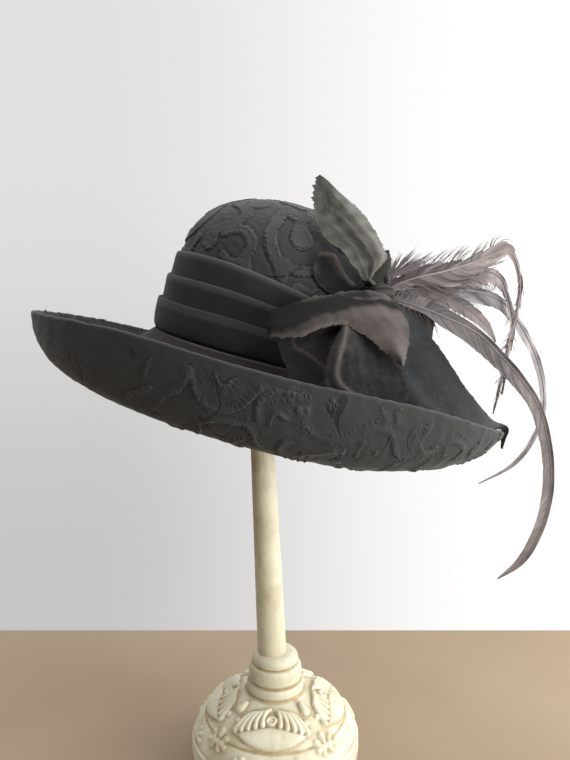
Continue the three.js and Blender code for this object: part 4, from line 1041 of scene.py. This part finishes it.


# Feathers: a tapering quill with a vane of close barbs to either side, and loose barbs along the ragged edges.
# Ragged: how much shorter a broken clump of barbs is, the share of such clumps, and how many barbs are in one.
# Loose: how many loose barbs there are, between which u, on which side and how long. Reach: how far they lean.
# Dark: the millimetres from the root over which a vane lightens. Tint: how light it is, and its rise to the tip,
# partly the feathers' own paler ends and partly painted light, steepest on the sweep, whose lower end gets less of
# the window light.

feathers = {
    "feather_top": {
        "seed": 201, "dark": (5, 95), "tint": (0.44, 0.3),
        "colours": ((42, 35, 34), (166, 155, 153)), "quill": (1.0, 0.35), "quillTint": 0.8,
        "reach": 17, "ragged": (0.38, 0.5, 9),
        "loose": [(46, 0.05, 0.3, -1, 9), (20, 0.3, 0.46, -1, 5), (30, 0.1, 0.4, 1, 6),
                  (12, 0.66, 0.95, 1, 3.5), (10, 0.66, 0.95, -1, 2.5)],
        "rows": [
            [69, -68, 72, 2.5, 2.5, 0], [76, -63, 78, 6, 6, 0], [91, -52, 87, 9, 11, 1],
            [110, -41, 96, 8, 16, 2], [130, -31, 107, 7, 13, 2], [148, -24, 119, 7, 8, 1],
            [161, -20, 127, 8, 5, 0], [172, -18, 121, 2.5, 2.5, 0], [181, -17, 104, 2, 2, 0],
            [185, -16, 81, 2, 2, 0], [186, -15, 60, 1.6, 1.6, 0], [189, -14, 40, 1.4, 1.4, 0],
            [193, -12, 12, 1, 1, 0],
        ],
    },
    "feather_second": {
        "seed": 211, "dark": (30, 115), "tint": (0.6, 0.3),
        "colours": ((42, 37, 37), (164, 154, 154)), "quill": (1.0, 0.35), "quillTint": 0.3,
        "reach": 16, "ragged": (0.34, 0.4, 10),
        "loose": [(36, 0.08, 0.5, 1, 8), (14, 0.68, 0.96, 1, 4), (12, 0.68, 0.96, -1, 3)],
        "rows": [
            [71.5, -65, 71, 1.5, 1.5, 0], [84, -54, 79, 5, 6, 0], [99, -44, 83.5, 6, 10, 0],
            [117, -34.5, 91, 6, 12, 1], [135, -25.5, 101, 4, 13, 1], [152, -18, 107, 4, 14, 1],
            [165, -12, 105, 3, 9, 1], [174, -9, 96, 2.5, 4, 0], [182, -7.5, 83, 2.5, 2.5, 0],
            [188, -6.5, 68, 2.5, 2.5, 0], [190, -6, 46, 2.5, 3, 0], [192, -4, 18, 1.5, 2, 0],
            [194, -1, -7, 0.6, 0.6, 0],
        ],
    },
    "feather_outer": {
        "seed": 223, "dark": (40, 150), "tint": (0.38, 0.4),
        "colours": ((56, 54, 56), (196, 189, 192)), "quill": (1.1, 0.35), "quillTint": 0.35,
        "reach": 15, "ragged": (0.12, 0.15, 14),
        "loose": [(16, 0.08, 0.3, 1, 5)],
        "rows": [
            [73, -65.5, 68, 1.5, 1.5, 0], [84, -53, 74, 5, 6, 0], [104, -36, 79, 6, 9, 0],
            [128, -22, 86, 5, 10, 0], [155, -9, 90, 4, 10, 0], [180, -2, 85, 3, 8, 0],
            [205, 5, 65, 2.5, 5, 0], [221, 8, 47, 2.5, 4, 0], [234, 11, 26, 2.5, 3.6, 0],
            [241, 14, 5, 2.5, 3, 0], [242, 17, -16, 2.4, 2.4, 0], [232, 21, -48, 1.8, 1.8, 0],
            [207, 24, -74, 0.6, 0.6, 0],
        ],
    },
    "feather_sweep": {
        "seed": 227, "dark": (40, 185), "tint": (0.1, 0.72),
        "colours": ((37, 32, 32), (143, 133, 131)), "quill": (1.0, 0.3), "quillTint": 0.55,
        "reach": 18, "ragged": (0.06, 0.1, 18),
        "loose": [(46, 0.03, 0.22, 1, 9), (26, 0.03, 0.2, -1, 7)],
        "rows": [
            [72, -69, 67, 1.5, 1.5, 0], [84, -65, 66, 6, 3, 0], [100, -58, 65, 9, 4, 0],
            [118, -50, 63, 8, 8, 0], [150, -40, 57, 4, 12, 1], [176, -33, 44, 3.5, 11, 1],
            [201, -27, 28, 3.5, 9, 1], [223, -23, 9, 3, 8, 1], [242, -19, -22, 2.8, 7, 1],
            [254, -17, -56, 2.8, 7, 1], [257, -15, -92, 2.8, 6.5, 1], [250, -13, -124, 2.5, 4.5, 0],
            [234, -12, -145, 0.6, 0.6, 0],
        ],
    },
    "feather_short": {
        "seed": 229, "dark": (25, 90), "tint": (0.3, 0.3),
        "colours": ((42, 36, 36), (150, 137, 135)), "quill": (0.9, 0.3), "quillTint": 0.5,
        "reach": 9, "ragged": (0.2, 0.25, 9),
        "loose": [(24, 0.05, 0.6, 1, 6)],
        "rows": [
            [71, -67, 70, 1.5, 1.5, 0], [84, -59, 76, 5, 5, 0], [108, -46, 79, 7, 9, 0],
            [138, -34, 74, 6, 7, 0], [160, -28, 64, 4, 4, 0], [172, -24, 53, 0.6, 0.6, 0],
        ],
    },
}
vane = {"face": [-0.1, -1, 0.3], "spacing": 0.6, "columns": 9, "thick": 0.32, "ridge": 0.1}


def tubeAlong(path, radius, sides=8):  # a tapering tube along a path of points
    along = unit(np.gradient(path, axis=0))
    first = unit(np.cross(along, np.array([0.13, 0.31, 0.94])))
    second = np.cross(along, first)
    turn = np.linspace(0, 2 * math.pi, sides, endpoint=False)
    ring = first[:, None] * np.cos(turn)[None, :, None] + second[:, None] * np.sin(turn)[None, :, None]
    return loft(path[:, None] + ring * np.asarray(radius)[:, None, None])


def barbs(paths, normals, width, thick):  # many thin closed barbs; paths is (barb, point, 3)
    count, steps = paths.shape[:2]
    along = unit(np.gradient(paths, axis=1))
    side = unit(np.cross(along, normals))
    taper = np.interp(np.linspace(0, 1, steps), [0, 0.2, 0.75, 1], [0.7, 1.0, 0.8, 0.12])[None, :, None]
    corner = [side * width[:, None, None] * taper, normals * thick * taper, -side * width[:, None, None] * taper]
    rings = np.stack([paths + offset for offset in corner], 2)  # barb, point, corner
    index = np.arange(count * steps * 3).reshape(count, steps, 3)
    nextCorner = np.roll(index, -1, 2)
    quads = np.stack([index[:, :-1], nextCorner[:, :-1], nextCorner[:, 1:], index[:, 1:]], -1).reshape(-1, 4)
    ends = np.concatenate([index[:, 0][:, ::-1], index[:, -1]])
    return rings.reshape(-1, 3), [quads, ends]


def drifting(draw, count, step):  # a random number for each barb that changes smoothly along the quill
    knots = draw.normal(size=count // step + 3)
    return np.interp(np.arange(count) / step, np.arange(len(knots)), knots)


def buildFeather(name, feather):
    draw = np.random.default_rng(feather["seed"])
    rows = np.array(feather["rows"], float)
    quillU = evenRows(rows, [0, 1, 2], 2.4)
    spine = smoothRows(rows, quillU)[:, :3]
    quill = tubeAlong(spine, np.linspace(*feather["quill"], len(quillU)))
    length = float(np.linalg.norm(np.diff(spine, axis=0), axis=1).sum())
    roots = evenRows(rows, [0, 1, 2], vane["spacing"])
    roots = roots[roots > 0.015]
    quillTint = np.repeat(feather["quillTint"] * (0.15 + 0.85 * ramp(quillU * length, 0, 110)), 8)
    bodies, tints = [quill], [np.concatenate([quillTint, quillTint[[0, -1]]])]
    t = np.linspace(0, 1, vane["columns"])[None, :]
    shorter, share, clumpSize = feather["ragged"]

    def vanePoints(root, side, far, rise, t, least=0.12):  # rows of points from the quill out to the vane's edge
        breadth = smoothRows(rows, root)[:, 3 if side < 0 else 4]
        reach = feather["reach"] / length * np.clip(breadth / 8, least, 1.2) * (1 - 0.6 * ramp(root, 0.5, 0.95))
        u = np.clip(root[:, None] + reach[:, None] * t ** 1.3, 0, 1)
        row, spine, normal, across = bladeFrame(rows, vane["face"], u)
        own = row[..., 3 if side < 0 else 4]
        out = side * far[:, None] * np.sin(t * math.pi / 2 * 0.8) / math.sin(math.pi * 0.4)
        lift = row[..., 5] * out * out + rise[:, None] * t ** 2
        return spine + across * (out * own)[..., None] + normal * lift[..., None], normal

    for side in (-1, 1):
        count = len(roots)
        ends = np.cumsum(draw.integers(max(clumpSize // 2, 3), clumpSize * 2, count))
        clump = np.searchsorted(ends, np.arange(count), side="right")
        sizes = 1 - shorter * draw.uniform(0.4, 1.0, clump.max() + 1) * (draw.uniform(size=clump.max() + 1) < share)
        starts = np.concatenate([[0], ends])[clump]
        along = (np.arange(count) - starts) / np.maximum(ends[clump] - starts, 1)  # 0 to 1 through a clump
        breadth = smoothRows(rows, roots)[:, 3 if side < 0 else 4]
        broad = np.clip(breadth / 8 - 0.5, 0, 1)  # 0 on the thin drooping ends
        far = sizes[clump] * (1 - 0.35 * shorter * (1 - along)) + 0.03 * draw.normal(size=count) * broad
        rise = 0.8 * draw.normal(size=clump.max() + 1)[clump] * shorter + 0.5 * drifting(draw, count, 25)
        middle, normal = vanePoints(roots, side, far, rise, t)
        ridge = vane["ridge"] * ((np.arange(count) % 2) * 2 - 1) * broad * 0.7
        ridge = ridge[:, None, None] * np.ones_like(t)[..., None]
        thick = vane["thick"] / 2
        bodies.append(shell(middle + normal * (thick + ridge), middle - normal * (thick - ridge)))
        streak = 0.18 * drifting(draw, count, 4) + 0.14 * drifting(draw, count, 11)
        streak *= np.clip(breadth / 7 - 0.15, 0.15, 1)
        base, gain = feather["tint"]
        # paler toward the tip: partly the barbs' own colour, partly painted light on the lower ends
        level = base + gain * roots ** 2 - 0.85 * (1 - ramp(roots * length, *feather["dark"]))
        tint = np.clip(level, 0.07, 0.9)[:, None] + streak[:, None] * (0.3 + 0.7 * t) + 0.12 * t + 0.06 * side
        tints += [tint.ravel(), tint.ravel()]
    for count, first, last, side, long in feather["loose"]:
        root = np.sort(draw.uniform(first, last, count))
        breadth = smoothRows(rows, root)[:, 3 if side < 0 else 4]
        extra = draw.uniform(0.3, 1.0, count) * long / np.maximum(breadth, 2.5)
        far = 1 + extra
        points, normals = vanePoints(root, side, far, draw.normal(0, 1.2, count), np.linspace(0, 1, 8)[None, :], 0.6)
        bodies.append(barbs(points, normals, draw.uniform(0.16, 0.3, count), 0.25))
        tints.append(np.repeat(np.clip(0.25 + 0.2 * draw.normal(size=(count, 1)), 0, 1), 3 * 8))
    points, groups = joined(bodies)
    makePiece(name + "_barbs", (onStand(points), groups), featherFinish(name + "_barb", feather["colours"]),
              [name], {"tint": np.clip(np.concatenate(tints), 0, 1)}, thin=True)


# Tuft of loose barbs at the knot, and the gathered knot with its bound stems

tuft = {
    "head": (66, -70, 79.8, 2.6), "colours": ((44, 38, 38), (104, 94, 92)), "seed": 251, "each": 26,
    "ends": [[66, -55, 98, 1.6], [74, -53, 101, 1.6], [84, -51, 109, 1.8], [93, -51, 105, 2.4], [101, -52, 108, 3]],
}
knot = {
    "at": (65, -70.5, 69), "size": (11, 7, 7), "turn": 30, "gathers": 7, "depth": 0.15,
    "stemEnd": (52, -56.4, 69), "stems": 7, "colours": ((20, 19, 19), (60, 56, 54)),
}


def buildTuft():
    draw = np.random.default_rng(tuft["seed"])
    head = np.array(tuft["head"][:3], float)
    turn = np.linspace(0, 2 * math.pi, 16, endpoint=False)
    polar = np.linspace(0.15, math.pi - 0.15, 9)[:, None]
    ball = stacked(np.sin(polar) * np.cos(turn), np.sin(polar) * np.sin(turn), np.cos(polar))
    bodies = [loft(head + ball * tuft["head"][3] * (1 + 0.08 * np.cos(turn * 5))[None, :, None])]
    tints = [np.full(len(bodies[0][0]), 0.1)]
    t = np.linspace(0, 1, 8)[None, :, None]
    for end in tuft["ends"]:
        goal = np.array(end[:3], float)
        spread = draw.normal(size=(tuft["each"], 3)) * [end[3] * 0.9, 1.2, end[3] * 0.9]
        length = draw.uniform(0.55, 1.02, (tuft["each"], 1))
        tip = head + (goal + spread - head) * length
        sag = np.array([0.6, 0, -1.0]) * draw.uniform(0, 4, (tuft["each"], 1))
        paths = head + (tip - head)[:, None] * t + sag[:, None] * (t ** 2 - t) * -1
        normals = np.broadcast_to(np.array([-0.1, -1, 0.2]), paths.shape)
        bodies.append(barbs(paths, unit(normals), draw.uniform(0.3, 0.45, tuft["each"]), 0.28))
        tint = np.clip(0.2 + 0.7 * t[..., 0] + draw.normal(0, 0.15, (tuft["each"], 1)), 0, 1)
        tints.append(np.repeat(tint, 3, axis=1).ravel())
    points, groups = joined(bodies)
    makePiece("tuft_barbs", (onStand(points), groups), featherFinish("tuft_barb", tuft["colours"]),
              ["feather_tuft"], {"tint": np.concatenate(tints)})


def buildKnot():
    u = np.linspace(0.03, 0.97, 40)[:, None]
    angle = np.linspace(0, 2 * math.pi, 90, endpoint=False)[None, :]
    twist = angle + 0.7 * (u - 0.5)
    fold = 1 - knot["depth"] * (0.5 + 0.5 * np.cos(twist * knot["gathers"] + np.sin(angle * 3)))
    girth = np.sin(math.pi * u) ** 0.8 * fold
    long, deep, high = knot["size"]
    lump = stacked(-long * np.cos(math.pi * u), deep * girth * np.cos(angle), high * girth * np.sin(angle))
    turn = math.radians(knot["turn"])
    spin = np.array([[math.cos(turn), -math.sin(turn), 0], [math.sin(turn), math.cos(turn), 0], [0, 0, 1]])
    at, end = np.array(knot["at"], float), np.array(knot["stemEnd"], float)
    bodies = [loft(lump @ spin.T + at)]
    # the knot's light shade follows its gathers: painted highlight on their crests and painted shade in their hollows
    shades = [np.clip(np.concatenate([(fold - 0.8).ravel() * 5, [0.5, 0.5]]), 0, 1)]
    toward = unit(end - at)
    first = unit(np.cross(toward, [0, 0, 1.0]))
    second = np.cross(toward, first)
    for k in range(knot["stems"]):
        a = 2 * math.pi * k / (knot["stems"] - 1)
        ring = (first * math.cos(a) + second * math.sin(a)) * (0 if k == knot["stems"] - 1 else 1)
        t = np.linspace(0, 0.93, 14)[:, None]
        path = at + (end - at) * t + ring * (2.5 + 1.2 * t)
        stem = tubeAlong(path, np.full(14, 1.35), 10)
        bodies.append(stem)
        shades.append(np.full(len(stem[0]), 0.3))
    points, groups = joined(bodies)
    makePiece("knot_velvet", (onStand(points), groups), velvetFinish("knot_velvet", knot["colours"]),
              ["stem_knot"], {"light": np.concatenate(shades)})


# Stand

foot = {
    "dome": {"radius": 77, "high": 56, "middleZ": 24, "lowest": 16, "highest": 76},
    "rim": [[60, 0], [70.8, 0], [72.6, 0.5], [73.9, 1.6], [74.5, 3.2]],  # radius and height
    "collar": [  # radius and height
        [25.8, 77], [26, 83], [25, 86.6], [23, 87.8], [23.9, 90], [24, 96], [23, 101], [20.4, 103.4], [21, 105.5],
        [20.4, 109.5], [17.5, 112.6], [14.5, 113.6],
    ],
    "grooves": [(87.9, 1.5), (103.8, 1.3), (77.5, 2.0)],  # the collar's darker rings: height and width
    "around": 390,
    "fans": 4, "firstFan": -93.5,
    "bulge": {"half": 33, "top": [41.5, 46.0, 49.8, 51.4, 49.8, 46.0, 41.5],
              "low": [41.5, 37.6, 35.6, 34.9, 35.6, 37.6, 41.5]},
}
pole = {"footX": -2.3, "footZ": 98, "lean": 2.27, "long": 388, "footRadius": 13.3, "topRadius": 7.8, "around": 64}


def stroke(x, y, x0, y0, w0, x1, y1, w1):  # how deep inside a tapering stroke a point is, as a share of its width
    dx, dy = x1 - x0, y1 - y0
    t = np.clip(((x - x0) * dx + (y - y0) * dy) / (dx * dx + dy * dy), 0, 1)
    gone = np.hypot(x - x0 - dx * t, y - y0 - dy * t)
    return 1 - gone / (w0 + (w1 - w0) * t)


# The height of the cast ornament on the dome, where y runs up the dome and levelY turns a latitude into it
def carving(azimuth, y, levelY):
    step = 360 / foot["fans"]
    turn = (azimuth - foot["firstFan"] + step / 2) % step - step / 2  # degrees from the middle of the nearest fan
    between = step / 2 - np.abs(turn)
    perDegree = np.radians(foot["dome"]["radius"] * np.cos(np.radians(np.interp(y, levelY[1], levelY[0]))))
    x, xb = turn * perDegree, between * perDegree
    height = np.zeros(np.broadcast(x, y).shape)

    def up(latitudeHere): return float(np.interp(latitudeHere, levelY[0], levelY[1]))

    def add(depth, top):
        np.maximum(height, top * np.sqrt(np.clip(1 - (1 - np.clip(depth, 0, 1)) ** 2, 0, 1)), out=height)

    def draw(xs, points, first, last, top):  # a curved stroke that widens from one end to the other
        path = smoothRows(points, np.linspace(0, 1, 9))
        width = np.linspace(first, last, 9)
        for (a, b), (c, d), w0, w1 in zip(path[:-1], path[1:], width[:-1], width[1:]):
            add(stroke(xs, y, a, b, w0, c, d, w1), top)

    boss = up(55.8)
    for side in (-1, 1):  # the drooping fingers of each fan
        for k in range(5):
            draw(x, [[side * (0.8 + 1.5 * k), boss + 10.6 - 0.8 * k], [side * (4.4 + 3.7 * k), boss + 9.0 - 1.4 * k],
                     [side * (7.2 + 5.4 * k), boss + 2.4 - 2.5 * k], [side * (7.8 + 6.5 * k), boss - 4.4 - 2.7 * k]],
                 1.0, 2.6, 2.5)
    ring = np.hypot(x, (y - boss) * 1.15)
    add(1 - np.abs(ring - 3.6) / 1.7, 1.9)
    add(1 - ring / 1.9, 1.2)
    bulge = foot["bulge"]
    share = np.clip((x / bulge["half"] + 1) / 2, 0, 1)
    top = smoothRows([[up(v)] for v in bulge["top"]], share)[..., 0]
    low = smoothRows([[up(v)] for v in bulge["low"]], share)[..., 0]
    across = np.clip((y - low) / np.maximum(top - low, 0.01), 0, 1)
    swell = np.sin(math.pi * across ** 0.7) * ramp(1 - np.abs(x) / bulge["half"], 0, 0.25)
    np.maximum(height, 2.6 * np.sqrt(np.clip(swell, 0, 1)), out=height)
    draw(xb, [[0, up(63.5)], [0.1, up(61)], [0.2, up(58.5)]], 2.6, 4.4, 3.0)  # drops and knobs between the fans
    add(1 - np.hypot((xb - 6.4) / 2.6, (y - up(50.5)) / 2.6), 1.9)
    for dx, dy, w in ((0, 9.5, 3.4), (7.6, 5.2, 3.1), (9.2, -1.5, 2.6), (4.4, -5.5, 2.4)):  # sprigs below them
        draw(xb, [[0.4, up(30) - 1], [dx * 0.6, up(30) + dy * 0.4], [dx, up(30) + dy]], 1.1, w, 2.0)
    for dx, dy in ((0, 7), (6, 4.5), (10.5, -1)):  # and the tops of the palmettes on the near side, low down
        draw(np.abs(np.abs(x) - 24), [[0, up(19) - 2], [dx * 0.6, up(19) + dy * 0.5], [dx, up(19) + dy]],
             1.2, 2.7, 1.8)
    height -= 1.0 * hump(y, up(32.8), 1.3)  # a soft groove right round
    return height


def buildFoot():
    dome = foot["dome"]
    wide, high, middleZ = dome["radius"], dome["high"], dome["middleZ"]
    start, end = (math.degrees(math.asin((dome[level] - middleZ) / high)) for level in ("lowest", "highest"))
    latitude = np.linspace(start, end, 400)
    r, z = wide * np.cos(np.radians(latitude)), middleZ + high * np.sin(np.radians(latitude))
    y = np.concatenate([[0], np.cumsum(np.hypot(np.diff(r), np.diff(z)))])
    rowsY = np.arange(0, y[-1], 0.92)
    lat = np.interp(rowsY, y, latitude)
    azimuth = np.linspace(-180, 180, foot["around"], endpoint=False)
    height = carving(azimuth[None, :], rowsY[:, None], (latitude, y))
    bead = float(np.interp(9.8, latitude, y))
    beads = 0.9 * hump(rowsY, bead, 1.3) - 0.5 * hump(rowsY, bead + 3.2, 1.1) - 0.5 * hump(rowsY, bead - 3.2, 1.1)
    height = height + beads[:, None]
    height = height * ramp(rowsY, 1, 5)[:, None] * ramp(y[-1] - rowsY, 1.0, 5.0)[:, None]
    a, phi = np.radians(azimuth)[None, :], np.radians(lat)[:, None]
    normal = stacked(np.cos(phi) / wide * np.cos(a), np.cos(phi) / wide * np.sin(a), np.sin(phi) / high)
    surface = stacked(wide * np.cos(phi) * np.cos(a), wide * np.cos(phi) * np.sin(a), middleZ + high * np.sin(phi))
    surface = surface + unit(normal) * height[..., None]
    hollow = np.clip((softened(height, 40) - height) * 0.75 + 0.12, 0, 1)

    def rings(profile):
        return stacked(profile[:, :1] * np.cos(a), profile[:, :1] * np.sin(a), profile[:, 1:])

    base = np.array([*foot["rim"], [r[0], dome["lowest"] - 1.5]])
    collarRows = np.array(foot["collar"])
    collar = smoothRows(collarRows, evenRows(collarRows, [0, 1], 0.6))
    grid = np.concatenate([rings(base), surface, rings(collar)])
    grooves = np.clip(sum(hump(collar[:, 1], *groove) for groove in foot["grooves"]), 0, 1)
    tint = np.concatenate([np.full((len(base), foot["around"]), 0.25), hollow,
                           grooves[:, None] * np.ones((1, foot["around"]))])
    makePiece("foot_casting", loft(grid), paint, ["stand_foot"], {"hollow": tint})


def buildPole():
    lean = math.radians(-pole["lean"])
    along = np.array([math.sin(lean), 0, math.cos(lean)])
    across = np.array([math.cos(lean), 0, -math.sin(lean)])
    t = np.linspace(0, 1, 60)
    radius = np.interp(t, [0, 1], [pole["footRadius"], pole["topRadius"]])
    turn = np.linspace(0, 2 * math.pi, pole["around"], endpoint=False)
    centre = np.array([pole["footX"], 0, pole["footZ"]]) + along * (t * pole["long"])[:, None]
    ring = across * np.cos(turn)[:, None] + np.array([0, 1, 0]) * np.sin(turn)[:, None]
    makePiece("pole_turned", loft(centre[:, None] + ring[None] * radius[:, None, None]), paint,
              ["stand_pole"], {"hollow": np.repeat(0.5 * hump(t, 0.04, 0.02), pole["around"])})


buildFoot()
buildPole()
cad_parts["stand_cap"].data.materials.clear()
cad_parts["stand_cap"].data.materials.append(paint)
print("stand ready")
buildBrim()
buildCrown()
buildBand()
print("hat ready")
buildKnot()
for name, leaf in leaves.items():
    buildLeaf(name, leaf)
for name, feather in feathers.items():
    buildFeather(name, feather)
buildTuft()
print("trimmings ready")


# Floor, light and camera

def buildStage():
    mesh = bpy.data.meshes.new("floor")
    wide, near, farEdge = 3.0, -3.0, 0.247
    mesh.from_pydata([(-wide, near, 0), (wide, near, 0), (wide, farEdge, 0), (-wide, farEdge, 0)], [], [(0, 1, 2, 3)])
    floor = bpy.data.objects.new("floor", mesh)
    scene.collection.objects.link(floor)
    ground = Finish("floor_paint", Roughness=0.85, Specular_IOR_Level=0.2)
    shade = ground.mix(ground.noise(300, 3).step(0.3, 0.7), tone(140, 124, 104), tone(132, 116, 96))
    mesh.materials.append(ground.use(Base_Color=shade))
    world = bpy.data.worlds.new("studio")
    room = Nodes(world)
    toward = room.node("ShaderNodeSeparateXYZ", None, {0: room.node("ShaderNodeTexCoord", output="Generated")})
    x, y, z = (Wire(room, output) for output in toward.socket.node.outputs)
    right = x.step(-0.25, 0.3)
    wall = 0.80 + 0.30 * right - 0.2 * (0 - z).step(-0.1, 0.4) * (1 - right)
    wall = wall + 1.1 * x.step(0.5, 0.95) - 0.6 * (0 - x).step(0.4, 0.9)
    front = 1 - 0.55 * (0 - y).step(-0.3, 0.5)
    strength = wall * front + 1.5 * z.step(0.35, 0.8)
    background = room.tree.nodes["Background"].inputs
    room.feed(background["Color"], (0.94, 0.93, 0.925, 1))
    room.feed(background["Strength"], strength)
    scene.world = world
    for name, place, turn, size, power in (
        ("window_light", (1.2, -0.8, 0.34), (98, 0, 58), 0.9, 29),
        ("floor_light", (0.72, 0.12, 0.42), (0, 12, 0), 0.35, 3.0),
    ):
        data = bpy.data.lights.new(name, "AREA")
        data.size, data.energy = size, power
        light = bpy.data.objects.new(name, data)
        light.location = place
        light.rotation_euler = [math.radians(v) for v in turn]
        scene.collection.objects.link(light)


def buildCamera():
    data = bpy.data.cameras.new("camera")
    data.sensor_width, data.lens = 36, 36.237
    camera = bpy.data.objects.new("camera", data)
    camera.location = (0.009, -0.6443, 0.4783)
    camera.rotation_euler = (math.radians(79.9), 0, 0)
    scene.collection.objects.link(camera)
    scene.camera = camera


buildStage()
buildCamera()
